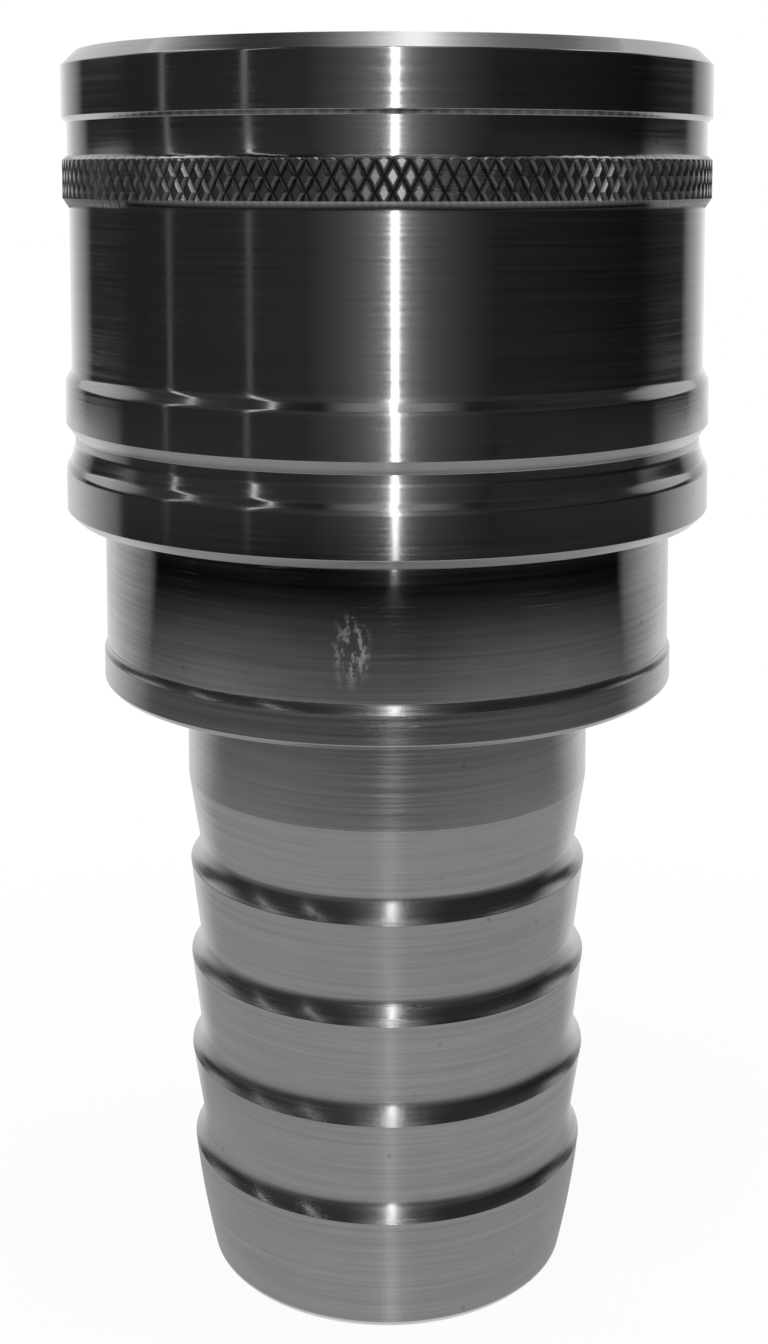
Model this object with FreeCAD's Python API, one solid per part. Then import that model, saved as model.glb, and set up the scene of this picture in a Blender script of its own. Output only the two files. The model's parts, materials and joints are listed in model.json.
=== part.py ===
"""Quick release hose coupling, socket half, with a barbed tail for 38 mm (1 1/2 in) hose.

A turned socket body carries a ring of locking balls. A sprung sleeve holds the balls in; pulling
it back towards the hose lets them out. A sprung poppet closes the passage when no plug is in.

Millimetres. +Z runs along the coupling's axis, from the open end of the hose tail (z = 0) to the
mouth that takes the plug. All diameters end in _d, all radii in _r.
"""
import FreeCAD, Part
import math
import os

# Hose tail, from its open end upwards
tail_bore_d = 31.0
tail_tip_d = 36.0
tail_tip_chamfer = 0.4
tip_cone_length = 11.6
tip_cone_bulge = 0.18
tip_barb_inset = 0.25
barb_crest_d = 40.4
barb_depth = 0.95
barb_step_length = 2.4
barb_pitch = 9.8
barb_count = 4
neck_cone_length = 6.6
neck_d = 40.6
neck_length = 10.2
flange_height = 4.1
flange_lip = 0.27
flange_blend_height = 0.85
flange_chamfer = 0.5
flow_cone_length = 10.0
spigot_mouth_d = 41.0

# Joint between the tail's spigot and the body
thread_d = 50.0
thread_clearance = 0.1
thread_relief_length = 1.0
thread_relief_depth = 0.4
pilot_d = 48.0
pilot_length = 5.0
pilot_clearance = 0.05
tail_seal_cord_d = 2.1
tail_seal_setback = 2.6

# Release sleeve, outside, listed from the mouth backwards
sleeve_d = 64.0
front_chamfer = 1.4
front_land_length = 5.0
front_groove_d = 62.96
front_groove_length = 3.15
front_groove_slope = 0.45
knurl_length = 3.65
knurl_slope_length = 0.95
barrel_d = 62.74
barrel_length = 15.95
barrel_blend_length = 0.7
middle_ridge_length = 4.3
rear_groove_d = 62.26
rear_groove_slope_length = 1.2
rear_groove_length = 2.0
rear_groove_blend_length = 0.85
rear_ridge_length = 4.4
rear_chamfer = 0.9

# Release sleeve, inside
sleeve_travel = 8.0
sleeve_overhang = 0.8
sleeve_running_clearance = 0.1
land_below_balls = 4.0
land_above_balls = 4.2
mouth_recess_chamfer = 0.8
sleeve_bore_chamfer = 0.5

# Socket body
body_d = 56.6
exposed_body_length = 12.65
nose_d = 46.8
nose_chamfer = 0.6
socket_bore_d = 38.2
socket_depth = 24.6
socket_lead_in = 1.0
mouth_bore_d = 39.0
mouth_bore_length = 6.2
throat_d = 30.4
throat_length = 5.0
chamber_d = 45.0

# Locking balls and their pockets
ball_d = 6.0
ball_count = 12
ball_setback = 9.6
ball_reach = 1.4
ball_travel = 1.5
ball_clearance = 0.05
cam_clearance = 0.15
pocket_half_angle = 25.0

# Ring that keeps the sleeve on the body
ring_thickness = 1.5
ring_side_play = 0.05
ring_groove_depth = 0.8
ring_width = 2.6
ring_gap_angle = 14.0

# Sleeve spring and the washer it turns on
sleeve_spring_wire_d = 2.4
sleeve_spring_mean_d = 51.6
sleeve_spring_length = 19.0
sleeve_spring_turns = 4.25
washer_thickness = 1.0

# Seal for the plug, in the socket bore
plug_seal_cord_d = 2.62
plug_seal_gland_depth = 2.2
plug_seal_gland_length = 4.4
plug_seal_height = 3.8
backup_ring_thickness = 1.2
backup_ring_clearance = 0.05

# Valve
poppet_nose_clearance = 0.3
poppet_nose_setback = 0.2
poppet_head_d = 36.0
poppet_head_thickness = 2.0
poppet_crown_thickness = 2.5
poppet_cup_d = 17.0
poppet_cone_gap = 0.15
poppet_seal_cord_d = 2.2
poppet_seal_groove_depth = 1.2
stem_d = 8.0
stem_overhang = 3.0
valve_travel = 7.5
valve_stop_gap = 0.8
valve_spring_wire_d = 1.5
valve_spring_mean_d = 13.4
valve_spring_turns = 4.25

# Valve guide
guide_ring_thickness = 3.0
guide_hub_d = 16.0
guide_hub_length = 10.7
guide_leg_count = 3
guide_leg_width = 3.2
guide_leg_depth = 5.0
guide_clearance = 0.05

# Shared small sizes
wire_sides = 8
seal_touch_gap = 0.02
edge_break = 0.3

# Heights along the axis
first_crest_z = tip_cone_length
last_crest_z = first_crest_z + (barb_count - 1) * barb_pitch
neck_z = last_crest_z + barb_step_length + neck_cone_length
flange_z = neck_z + neck_length
seam_z = flange_z + flange_height
sleeve_rear_z = seam_z + exposed_body_length
sleeve_length = (front_chamfer + front_land_length + 2 * front_groove_slope + front_groove_length
                 + knurl_length + knurl_slope_length + barrel_length + barrel_blend_length
                 + middle_ridge_length + rear_groove_slope_length + rear_groove_length
                 + rear_groove_blend_length + rear_ridge_length + rear_chamfer)
sleeve_front_z = sleeve_rear_z + sleeve_length
face_z = sleeve_front_z - sleeve_overhang
ball_z = face_z - ball_setback
land_rear_z = ball_z - land_below_balls
ring_seat_z = ball_z + land_above_balls
washer_z = land_rear_z - washer_thickness
body_step_z = washer_z - sleeve_spring_length
socket_floor_z = face_z - socket_depth
seat_z = socket_floor_z - throat_length
gland_z = socket_floor_z + plug_seal_height
chamber_z = seat_z - (chamber_d - throat_d) / 2

# Radii shared by pieces that fit each other
tail_bore_r = tail_bore_d / 2
crest_r = barb_crest_d / 2
root_r = crest_r - barb_depth
neck_r = neck_d / 2
body_r = body_d / 2
flange_r = body_r + flange_lip
pilot_r = pilot_d / 2
thread_r = thread_d / 2
nose_r = nose_d / 2
bore_r = socket_bore_d / 2
mouth_bore_r = mouth_bore_d / 2
throat_r = throat_d / 2
ball_r = ball_d / 2
ball_centre_r = bore_r - ball_reach + ball_r
sleeve_bore_r = body_r + sleeve_running_clearance
land_r = nose_r + sleeve_running_clearance
cam_slope = ball_travel / sleeve_travel
cam_r_at_balls = ball_centre_r + ball_r + cam_clearance
recess_r = cam_r_at_balls + ball_travel + cam_clearance
gland_r = bore_r + plug_seal_gland_depth
spigot_mouth_r = spigot_mouth_d / 2
stem_r = stem_d / 2

# Poppet at rest: its seal touches the conical seat
poppet_nose_r = throat_r - poppet_nose_clearance
poppet_seal_r = poppet_seal_cord_d / 2
poppet_groove_r = poppet_nose_r - poppet_seal_groove_depth
poppet_seal_centre_r = poppet_groove_r + poppet_seal_r + seal_touch_gap
poppet_seal_z = seat_z + throat_r - poppet_seal_centre_r - (poppet_seal_r + seal_touch_gap) * math.sqrt(2)
poppet_groove_half = poppet_seal_r + seal_touch_gap
poppet_head_z = poppet_seal_z - poppet_groove_half
poppet_rear_z = poppet_head_z - poppet_head_thickness
poppet_top_z = socket_floor_z - poppet_nose_setback
poppet_cup_z = poppet_top_z - poppet_crown_thickness

# The guide is clamped between the body's shoulder and the spigot
guide_top_z = poppet_rear_z - valve_travel - valve_stop_gap
spigot_top_z = guide_top_z - guide_ring_thickness
guide_hub_z = guide_top_z - guide_hub_length
stem_end_z = guide_hub_z - stem_overhang
tail_seal_z = spigot_top_z - tail_seal_setback
relief_z = spigot_top_z - pilot_length - thread_relief_length

axis_start = FreeCAD.Vector(0, 0, 0)
axis_way = FreeCAD.Vector(0, 0, 1)


def at(radius, height):
    """Point of a profile, in the plane through the axis."""
    return FreeCAD.Vector(radius, 0, height)


def turned(outline):
    """Solid of revolution. The outline is a list of (r, z) corners; an entry ((r, z), (r, z)) is an
    arc through the first point to the second."""
    first = outline[0]
    corner = at(*first)
    edges = []
    for entry in outline[1:] + [first]:
        if isinstance(entry[0], tuple):
            middle, end = at(*entry[0]), at(*entry[1])
            edges.append(Part.Arc(corner, middle, end).toShape())
        else:
            end = at(*entry)
            edges.append(Part.LineSegment(corner, end).toShape())
        corner = end
    face = Part.Face(Part.Wire(edges))
    return face.revolve(axis_start, axis_way, 360)


def hollow_to(root, crest):
    """Arc entry from root to crest that leaves the root along the axis, as a round-nosed tool does."""
    rise = crest[0] - root[0]
    run = crest[1] - root[1]
    radius = (run * run + rise * rise) / (2 * rise)
    half = math.asin(abs(run) / radius) / 2
    return ((root[0] + radius * (1 - math.cos(half)),
             root[1] + math.copysign(radius * math.sin(half), run)), crest)


def hollow_from(crest, root):
    """The same arc run the other way, from the crest to the root."""
    return (hollow_to(root, crest)[0], root)


def ring(inner_r, outer_r, low_z, high_z):
    """Plain flat ring."""
    return turned([(inner_r, low_z), (outer_r, low_z), (outer_r, high_z), (inner_r, high_z)])


def cord_ring(centre_r, cord_r, height):
    """Round-section ring, such as an O-ring."""
    return Part.makeTorus(centre_r, cord_r, FreeCAD.Vector(0, 0, height), axis_way)


def wire_section(centre_r, wire_d):
    """Outline of a spring's wire, with a few flat sides, in the plane through the axis."""
    corners = []
    for index in range(wire_sides):
        angle = 2 * math.pi * (index + 0.5) / wire_sides
        corners.append(at(centre_r + wire_d / 2 * math.cos(angle), wire_d / 2 * math.sin(angle)))
    return Part.makePolygon(corners + corners[:1])


def ground_spring(mean_d, wire_d, low_z, high_z, turns):
    """Helical spring with open ends ground flat at low_z and high_z."""
    length = high_z - low_z
    pitch = (length - wire_d) / (turns - 1)
    radius = mean_d / 2
    helix = Part.makeHelix(pitch, pitch * turns, radius)
    coil = Part.Wire(helix.Edges).makePipeShell([wire_section(radius, wire_d)], True, True)
    coil.translate(FreeCAD.Vector(0, 0, low_z + (length - pitch * turns) / 2))
    return coil.common(Part.makeCylinder(radius + wire_d, length, FreeCAD.Vector(0, 0, low_z)))


def around(shape, count):
    """Copies of a shape spaced evenly round the axis."""
    copies = []
    for index in range(count):
        copy = shape.copy()
        copy.rotate(axis_start, axis_way, 360.0 * index / count)
        copies.append(copy)
    return copies


def hose_tail():
    """Barbed tail, neck, flange and threaded spigot, turned in one piece."""
    outline = [(tail_bore_r, 0), (tail_tip_d / 2 - tail_tip_chamfer, 0)]
    crest = (crest_r - tip_barb_inset, first_crest_z)
    cone_middle = ((tail_tip_d / 2 + crest[0]) / 2 + tip_cone_bulge, (tail_tip_chamfer + first_crest_z) / 2)
    outline += [(tail_tip_d / 2, tail_tip_chamfer), (cone_middle, crest)]
    outline.append(hollow_from(crest, (root_r - tip_barb_inset, first_crest_z + barb_step_length)))
    for index in range(1, barb_count):
        crest = (crest_r, first_crest_z + index * barb_pitch)
        outline += [crest, hollow_from(crest, (root_r, crest[1] + barb_step_length))]
    outline += [(neck_r, neck_z), (neck_r, flange_z), (flange_r - flange_chamfer, flange_z),
                (flange_r, flange_z + flange_chamfer)]
    lip = (flange_r, seam_z - flange_blend_height)
    outline += [lip, hollow_from(lip, (body_r, seam_z))]

    male_r = thread_r - thread_clearance
    plug_r = pilot_r - pilot_clearance
    relief_r = plug_r - thread_relief_depth
    relief_top_z = relief_z + thread_relief_length
    outline += [(male_r, seam_z), (male_r, relief_z), (relief_r, relief_z),
                (relief_r, relief_top_z), (plug_r, relief_top_z)]
    groove_half = tail_seal_cord_d / 2 + seal_touch_gap
    groove_r = pilot_r - tail_seal_cord_d - 2 * seal_touch_gap
    outline += [(plug_r, tail_seal_z - groove_half), (groove_r, tail_seal_z - groove_half),
                (groove_r, tail_seal_z + groove_half), (plug_r, tail_seal_z + groove_half),
                (plug_r, spigot_top_z - edge_break), (plug_r - edge_break, spigot_top_z)]
    outline += [(spigot_mouth_r, spigot_top_z), (tail_bore_r, spigot_top_z - flow_cone_length)]
    return turned(outline)


def ball_pocket():
    """Tapered radial hole for one ball, open outwards, that stops the ball falling into the bore."""
    taper = math.tan(math.radians(pocket_half_angle))
    hole_r = ball_r + ball_clearance
    apex = ball_centre_r - hole_r / math.sin(math.radians(pocket_half_angle))
    low = bore_r - ball_reach
    high = nose_r + ball_r
    shoulder = apex + hole_r / taper
    tool = turned([(0, low), ((low - apex) * taper, low), (hole_r, shoulder), (hole_r, high), (0, high)])
    tool.rotate(axis_start, FreeCAD.Vector(0, 1, 0), 90)
    tool.translate(FreeCAD.Vector(0, 0, ball_z))
    return tool


def socket_body():
    """Turned body: socket for the plug, ball pockets, valve seat, chamber and thread for the tail."""
    groove_floor_r = nose_r - ring_groove_depth
    groove_low_z = ring_seat_z
    groove_high_z = ring_seat_z + ring_thickness + 2 * ring_side_play
    outside = [(thread_r, seam_z), (body_r, seam_z), (body_r, body_step_z - edge_break),
               (body_r - edge_break, body_step_z), (nose_r, body_step_z),
               (nose_r, groove_low_z), (groove_floor_r, groove_low_z),
               (groove_floor_r, groove_high_z), (nose_r, groove_high_z),
               (nose_r, face_z - nose_chamfer), (nose_r - nose_chamfer, face_z)]
    mouth_bore_z = face_z - mouth_bore_length
    inside = [(mouth_bore_r + socket_lead_in, face_z), (mouth_bore_r, face_z - socket_lead_in),
              (mouth_bore_r, mouth_bore_z), (bore_r, mouth_bore_z - (mouth_bore_r - bore_r)),
              (bore_r, gland_z + plug_seal_gland_length), (gland_r, gland_z + plug_seal_gland_length),
              (gland_r, gland_z), (bore_r, gland_z), (bore_r, socket_floor_z),
              (throat_r, socket_floor_z), (throat_r, seat_z), (chamber_d / 2, chamber_z),
              (chamber_d / 2, guide_top_z), (pilot_r, guide_top_z)]
    thread_top_z = relief_z + thread_relief_length / 2
    outline = outside + inside + [(pilot_r, thread_top_z), (thread_r, thread_top_z)]
    return turned(outline).cut(around(ball_pocket(), ball_count))


def release_sleeve():
    """Outer sleeve with its ridges and grooves outside and the ball cam inside."""
    ridge_r = sleeve_d / 2
    front_groove_r = front_groove_d / 2
    barrel_r = barrel_d / 2
    rear_groove_r = rear_groove_d / 2
    straight, hollow = False, True
    steps = [(front_chamfer, ridge_r, straight), (front_land_length, ridge_r, straight),
             (front_groove_slope, front_groove_r, straight),
             (front_groove_length, front_groove_r, straight),
             (front_groove_slope, ridge_r, straight), (knurl_length, ridge_r, straight),
             (knurl_slope_length, barrel_r, straight), (barrel_length, barrel_r, straight),
             (barrel_blend_length, ridge_r, hollow), (middle_ridge_length, ridge_r, straight),
             (rear_groove_slope_length, rear_groove_r, straight),
             (rear_groove_length, rear_groove_r, straight),
             (rear_groove_blend_length, ridge_r, hollow), (rear_ridge_length, ridge_r, straight),
             (rear_chamfer, ridge_r - rear_chamfer, straight)]
    corner = (ridge_r - front_chamfer, sleeve_front_z)
    outline = [corner]
    for length, radius, blend in steps:
        end = (radius, corner[1] - length)
        outline.append(hollow_to(corner, end) if blend else end)
        corner = end

    cam_start_z = ball_z - (cam_r_at_balls - land_r) / cam_slope
    cam_end_r = cam_r_at_balls + cam_slope * land_above_balls
    outline += [(sleeve_bore_r + sleeve_bore_chamfer, sleeve_rear_z),
                (sleeve_bore_r, sleeve_rear_z + sleeve_bore_chamfer),
                (sleeve_bore_r, land_rear_z), (land_r, land_rear_z), (land_r, cam_start_z),
                (cam_end_r, ring_seat_z), (recess_r, ring_seat_z),
                (recess_r, sleeve_front_z - mouth_recess_chamfer),
                (recess_r + mouth_recess_chamfer, sleeve_front_z)]
    return turned(outline)


def sleeve_retaining_ring():
    """Split ring in the nose's groove; the sleeve's inner shoulder rests against it."""
    inner_r = nose_r - ring_groove_depth + ring_side_play
    low_z = ring_seat_z + ring_side_play
    outer_r = inner_r + ring_width
    whole = ring(inner_r, outer_r, low_z, low_z + ring_thickness)
    half = math.radians(ring_gap_angle / 2)
    reach = outer_r / math.cos(half)
    middle = FreeCAD.Vector(0, 0, low_z)
    one_side = FreeCAD.Vector(reach, -reach * math.tan(half), low_z)
    other_side = FreeCAD.Vector(reach, reach * math.tan(half), low_z)
    wedge = Part.Face(Part.makePolygon([middle, one_side, other_side, middle]))
    return whole.cut(wedge.extrude(axis_way * ring_thickness))


def spring_washer():
    """Flat washer between the sleeve spring and the sleeve, so that the sleeve can be turned."""
    return ring(land_r, sleeve_bore_r - sleeve_running_clearance, washer_z, land_rear_z)


def sleeve_spring():
    """Spring round the nose that pushes the sleeve forward."""
    return ground_spring(sleeve_spring_mean_d, sleeve_spring_wire_d, body_step_z, washer_z,
                         sleeve_spring_turns)


def plug_seal():
    """O-ring that seals on the plug, standing a little proud of the bore."""
    cord_r = plug_seal_cord_d / 2
    backup_low_z = gland_z + plug_seal_gland_length - backup_ring_thickness
    middle_z = (gland_z + backup_low_z) / 2
    return cord_ring(gland_r - cord_r - seal_touch_gap, cord_r, middle_z)


def plug_seal_backup_ring():
    """Flat ring on the mouth side of the plug seal, that stops the O-ring squeezing out."""
    high_z = gland_z + plug_seal_gland_length
    return ring(bore_r + backup_ring_clearance, gland_r - seal_touch_gap,
                high_z - backup_ring_thickness, high_z)


def valve_poppet():
    """Hollow-backed poppet with its stem."""
    cup_r = poppet_cup_d / 2
    head_r = poppet_head_d / 2
    cone_offset = poppet_cone_gap * math.sqrt(2)
    head_top_r = throat_r + seat_z - poppet_head_z - cone_offset
    head_slope = head_r - head_top_r
    outline = [(0, stem_end_z), (stem_r - edge_break, stem_end_z), (stem_r, stem_end_z + edge_break),
               (stem_r, poppet_cup_z), (cup_r, poppet_cup_z), (cup_r, poppet_rear_z),
               (head_r, poppet_rear_z), (head_r, poppet_head_z - head_slope),
               (head_top_r, poppet_head_z), (poppet_groove_r, poppet_head_z)]
    groove_top_z = poppet_seal_z + poppet_groove_half
    outline += [(poppet_groove_r, groove_top_z), (poppet_nose_r, groove_top_z),
                (poppet_nose_r, poppet_top_z - edge_break), (poppet_nose_r - edge_break, poppet_top_z),
                (0, poppet_top_z)]
    return turned(outline)


def poppet_seal():
    """O-ring in the poppet's groove, against the conical seat."""
    return cord_ring(poppet_seal_centre_r, poppet_seal_r, poppet_seal_z)


def valve_spring():
    """Spring between the guide's hub and the inside of the poppet."""
    return ground_spring(valve_spring_mean_d, valve_spring_wire_d, guide_top_z, poppet_cup_z,
                         valve_spring_turns)


def valve_guide():
    """Ring, hub and legs in one piece; the hub carries the poppet's stem."""
    hub_r = guide_hub_d / 2
    rim_outer_r = pilot_r - guide_clearance
    rim = ring(spigot_mouth_r, rim_outer_r, spigot_top_z, guide_top_z)
    hub = ring(stem_r + guide_clearance, hub_r, guide_hub_z, guide_top_z)
    leg_outer_r = spigot_mouth_r + edge_break
    leg_profile = [at(hub_r - edge_break, guide_top_z), at(leg_outer_r, guide_top_z),
                   at(leg_outer_r, spigot_top_z), at(spigot_mouth_r - edge_break, spigot_top_z),
                   at(hub_r - edge_break, guide_top_z - guide_leg_depth)]
    leg = Part.Face(Part.makePolygon(leg_profile + [leg_profile[0]]))
    leg = leg.extrude(FreeCAD.Vector(0, guide_leg_width, 0))
    leg.translate(FreeCAD.Vector(0, -guide_leg_width / 2, 0))
    return rim.fuse([hub] + around(leg, guide_leg_count)).removeSplitter()


def tail_seal():
    """O-ring between the spigot and the body."""
    cord_r = tail_seal_cord_d / 2
    return cord_ring(pilot_r - cord_r - seal_touch_gap, cord_r, tail_seal_z)


def locking_balls():
    """The balls, each by its own name, numbered round the axis from +X."""
    first = Part.makeSphere(ball_r, FreeCAD.Vector(ball_centre_r, 0, ball_z))
    balls = around(first, ball_count)
    return {"locking_ball_%02d" % (index + 1): ball for index, ball in enumerate(balls)}


pieces = {
    "hose_tail": hose_tail(),
    "socket_body": socket_body(),
    "release_sleeve": release_sleeve(),
    "sleeve_retaining_ring": sleeve_retaining_ring(),
    "spring_washer": spring_washer(),
    "sleeve_spring": sleeve_spring(),
    "plug_seal": plug_seal(),
    "plug_seal_backup_ring": plug_seal_backup_ring(),
    "valve_poppet": valve_poppet(),
    "poppet_seal": poppet_seal(),
    "valve_spring": valve_spring(),
    "valve_guide": valve_guide(),
    "tail_seal": tail_seal(),
}
pieces.update(locking_balls())

os.makedirs("parts", exist_ok=True)
for name, shape in pieces.items():
    shape.exportStep("parts/%s.step" % name)
    print(name, "solids", len(shape.Solids), "valid", shape.isValid(), "volume", round(shape.Volume, 1))
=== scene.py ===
"""Looks of a quick release hose coupling: turned, knurled and polished stainless steel.

Sizes are written in millimetres, as a maker would, and turned into metres where a mesh is made. The axis
is Z, the hose tail's open end is at zero and the mouth that takes the plug is at the top.
"""
import json
import logging
import math
from dataclasses import dataclass
from enum import Enum
from typing import Any, Callable, Iterable, Sequence

import bpy
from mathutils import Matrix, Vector


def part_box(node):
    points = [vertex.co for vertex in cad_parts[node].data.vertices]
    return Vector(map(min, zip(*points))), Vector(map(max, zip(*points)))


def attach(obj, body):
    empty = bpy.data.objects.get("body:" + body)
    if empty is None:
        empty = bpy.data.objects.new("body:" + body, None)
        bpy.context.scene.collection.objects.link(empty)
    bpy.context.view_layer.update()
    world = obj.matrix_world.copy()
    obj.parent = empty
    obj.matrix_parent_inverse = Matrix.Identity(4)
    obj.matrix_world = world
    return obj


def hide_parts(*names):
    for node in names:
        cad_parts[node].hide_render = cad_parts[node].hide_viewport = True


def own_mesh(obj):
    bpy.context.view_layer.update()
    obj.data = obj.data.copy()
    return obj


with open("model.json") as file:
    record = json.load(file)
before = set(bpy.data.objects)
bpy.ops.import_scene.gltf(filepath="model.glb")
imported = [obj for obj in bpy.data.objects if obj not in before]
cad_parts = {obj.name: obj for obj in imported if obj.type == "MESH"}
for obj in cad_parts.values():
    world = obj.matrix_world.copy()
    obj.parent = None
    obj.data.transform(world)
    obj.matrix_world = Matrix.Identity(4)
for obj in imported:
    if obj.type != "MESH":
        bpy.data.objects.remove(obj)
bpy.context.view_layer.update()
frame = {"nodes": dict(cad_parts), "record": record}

MM = 0.001
log = logging.getLogger("coupling")

# The lathe's lines: how often they change round the axis, per metre, and how fine the broad ones are.
LINE_CHANGE_AROUND = 40.0
BAND_SHARE = 0.28

# What handling does to the tone and the roughness of turned steel.
SPECK_TONE = -0.12
SCRATCH_TONE = 0.10
SCUFF_TONE = 0.35
SCRATCH_ROUGHNESS = 0.20
SCUFF_ROUGHNESS = 0.40
SPECK_HEIGHT = -0.8
LEAST_ROUGHNESS = 0.03

# What grain, specks and smudges do to ground steel, and a cloudy skin to a moulded polymer.
GRAIN_TONE = 0.06
GROUND_SPECK_TONE = -0.1
GROUND_SMUDGE_ROUGHNESS = 0.12
CLOUD_ROUGHNESS = 0.16

# Turns the highlights' long side across the lathe's lines.
QUARTER_TURN = 0.25

# Share of a side of an outline that the rounding of one corner may take.
LONGEST_REACH = 0.45

# Radius in millimetres of a solid piece's end on the axis.
AXIS_R = 0.001

# The knurl: a whole number that keeps shares of a repeat positive, how near its seam's points are, in metres,
# and how near the band's rim they lie, in millimetres.
WHOLE_REPEATS = 1000.0
SEAM_REACH = 1e-7
RIM_REACH = 0.01

# Edges of the bored body that turn by more than this stay sharp.
SHARP_ANGLE = math.radians(32)

Point = tuple[float, float]
Socket = bpy.types.NodeSocket


class Body(Enum):
    """The rigid bodies that pieces ride on."""

    COUPLING = "coupling_body"
    SLEEVE = "sleeve"
    VALVE = "valve"


class Slot(Enum):
    """The record's finishes."""

    SLEEVE = "sleeve_steel"
    BODY = "body_steel"
    TAIL = "tail_steel"
    BALL = "ball_steel"
    SPRING = "spring_steel"
    VALVE = "valve_steel"
    SEAL = "seal_rubber"
    BACKUP = "backup_plastic"


class Canvas:
    """Adds nodes to a shader or geometry tree and joins their sockets."""

    def __init__(self, tree: bpy.types.NodeTree) -> None:
        """Starts on the tree that gets the nodes."""
        self.tree = tree

    def put(self, node: bpy.types.Node, key: str | int, value: Any) -> None:
        """Sets or links one input.

        Args:
            node: the node that has the input.
            key: the input's name or number.
            value: a socket to link from, or a plain value.
        """
        if isinstance(value, Socket):
            self.tree.links.new(value, node.inputs[key])
        else:
            node.inputs[key].default_value = value

    def add(self, kind: str, inputs: dict[str | int, Any] | None = None, **settings: Any) -> bpy.types.Node:
        """Adds one node.

        Args:
            kind: the node's type.
            inputs: values or sockets by input name or number.
            settings: the node's own properties.

        Returns:
            The new node.
        """
        node = self.tree.nodes.new(kind)
        for name, value in settings.items():
            setattr(node, name, value)
        for key, value in (inputs or {}).items():
            self.put(node, key, value)
        return node

    def math(self, operation: str, *values: Any) -> Socket:
        """The result of a Math node with these inputs, in order."""
        return self.add("ShaderNodeMath", dict(enumerate(values)), operation=operation).outputs[0]

    def plus(self, start: Any, *terms: tuple[Any, float]) -> Any:
        """Adds up masks.

        Args:
            start: the value or socket that they are added to.
            terms: each mask's socket and its weight.

        Returns:
            The sum's socket.
        """
        for mask, weight in terms:
            start = self.math("MULTIPLY_ADD", mask, weight, start)
        return start

    def remap(self, value: Any, low: float, high: float, to_low: float = 0.0, to_high: float = 1.0) -> Any:
        """A value with the range from low to high mapped onto another range, clamped."""
        return self.add("ShaderNodeMapRange", {0: value, 1: low, 2: high, 3: to_low, 4: to_high}).outputs[0]

    def noise(self, vector: Any, scale: float, detail: float = 2.0, roughness: float = 0.5) -> Any:
        """The value of a noise texture. Detail counts its octaves, roughness is the finer ones' share."""
        inputs = {"Vector": vector, "Scale": scale, "Detail": detail, "Roughness": roughness}
        return self.add("ShaderNodeTexNoise", inputs).outputs[0]

    def place(self) -> Socket:
        """Object coordinates, in metres."""
        return self.add("ShaderNodeTexCoord").outputs["Object"]

    def vector(self, operation: str, *values: Any) -> bpy.types.Node:
        """A Vector Math node with these inputs, in order."""
        return self.add("ShaderNodeVectorMath", dict(enumerate(values)), operation=operation)

    def stretched(self, around: float, along: float) -> Socket:
        """Object coordinates, scaled round and along the axis, per metre."""
        return self.vector("MULTIPLY", self.place(), (around, around, along)).outputs[0]

    def grey(self, tone: Any) -> Socket:
        """A grey of this tone."""
        return self.add("ShaderNodeCombineColor", {0: tone, 1: tone, 2: tone}).outputs[0]

    def surface(self, inputs: dict[str, Any], height: Any, strength: float, depth: float) -> None:
        """Ends a material with a Principled shader.

        Args:
            inputs: the shader's inputs.
            height: the socket of its relief.
            strength: how much of the relief shows.
            depth: how deep the relief is, in millimetres.
        """
        bump = self.add("ShaderNodeBump", {"Strength": strength, "Distance": depth * MM, "Height": height})
        shader = self.add("ShaderNodeBsdfPrincipled", inputs | {"Normal": bump.outputs[0]})
        self.add("ShaderNodeOutputMaterial", {"Surface": shader.outputs[0]})


def add_sockets(tree: bpy.types.NodeTree, way: str, kind: str, names: Iterable[str]) -> None:
    """Adds inputs or outputs to a node group.

    Args:
        tree: the group.
        way: INPUT or OUTPUT.
        kind: Float, Int, Material or Geometry.
        names: the sockets' names; where it is a dict, its values are what they start at.
    """
    for name in names:
        socket = tree.interface.new_socket(name, in_out=way, socket_type="NodeSocket" + kind)
        if isinstance(names, dict):
            socket.default_value = names[name]


def started_group(name: str, numbers: dict[str, float], masks: Iterable[str]) -> tuple[Any, Canvas, Any]:
    """Starts a shader group.

    Args:
        name: the group's name.
        numbers: the value that each input starts at, by name.
        masks: the names of its outputs.

    Returns:
        The group, a canvas on it and the sockets of its inputs.
    """
    group = bpy.data.node_groups.new(name, "ShaderNodeTree")
    add_sockets(group, "INPUT", "Float", numbers)
    add_sockets(group, "OUTPUT", "Float", masks)
    canvas = Canvas(group)
    return group, canvas, canvas.add("NodeGroupInput").outputs


def turning_lines_group() -> bpy.types.NodeTree:
    """Fine lines that a lathe tool leaves round a piece.

    Returns:
        A group with the lines' pitch in millimetres going in, and their height and slow banding coming out.
    """
    group, canvas, given = started_group("turning_lines", {"Pitch": 0.1}, ("Height", "Band"))
    per_metre = canvas.math("DIVIDE", 1 / MM, given["Pitch"])
    parts = canvas.add("ShaderNodeSeparateXYZ", {0: canvas.place()})
    x, y = (canvas.math("MULTIPLY", parts.outputs[axis], LINE_CHANGE_AROUND) for axis in ("X", "Y"))
    fine_z = canvas.math("MULTIPLY", parts.outputs["Z"], per_metre)
    band_z = canvas.math("MULTIPLY", fine_z, BAND_SHARE)
    fine, broad = (canvas.add("ShaderNodeCombineXYZ", {0: x, 1: y, 2: z}).outputs[0]
                   for z in (fine_z, band_z))
    lines = canvas.noise(fine, scale=1.0, detail=2.0, roughness=0.6)
    bands = canvas.noise(broad, scale=1.0, detail=3.0, roughness=0.6)
    height = canvas.plus(0.0, (lines, 0.7), (bands, 0.3))
    canvas.add("NodeGroupOutput", {"Height": height, "Band": canvas.remap(bands, 0.3, 0.7)})
    return group


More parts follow.
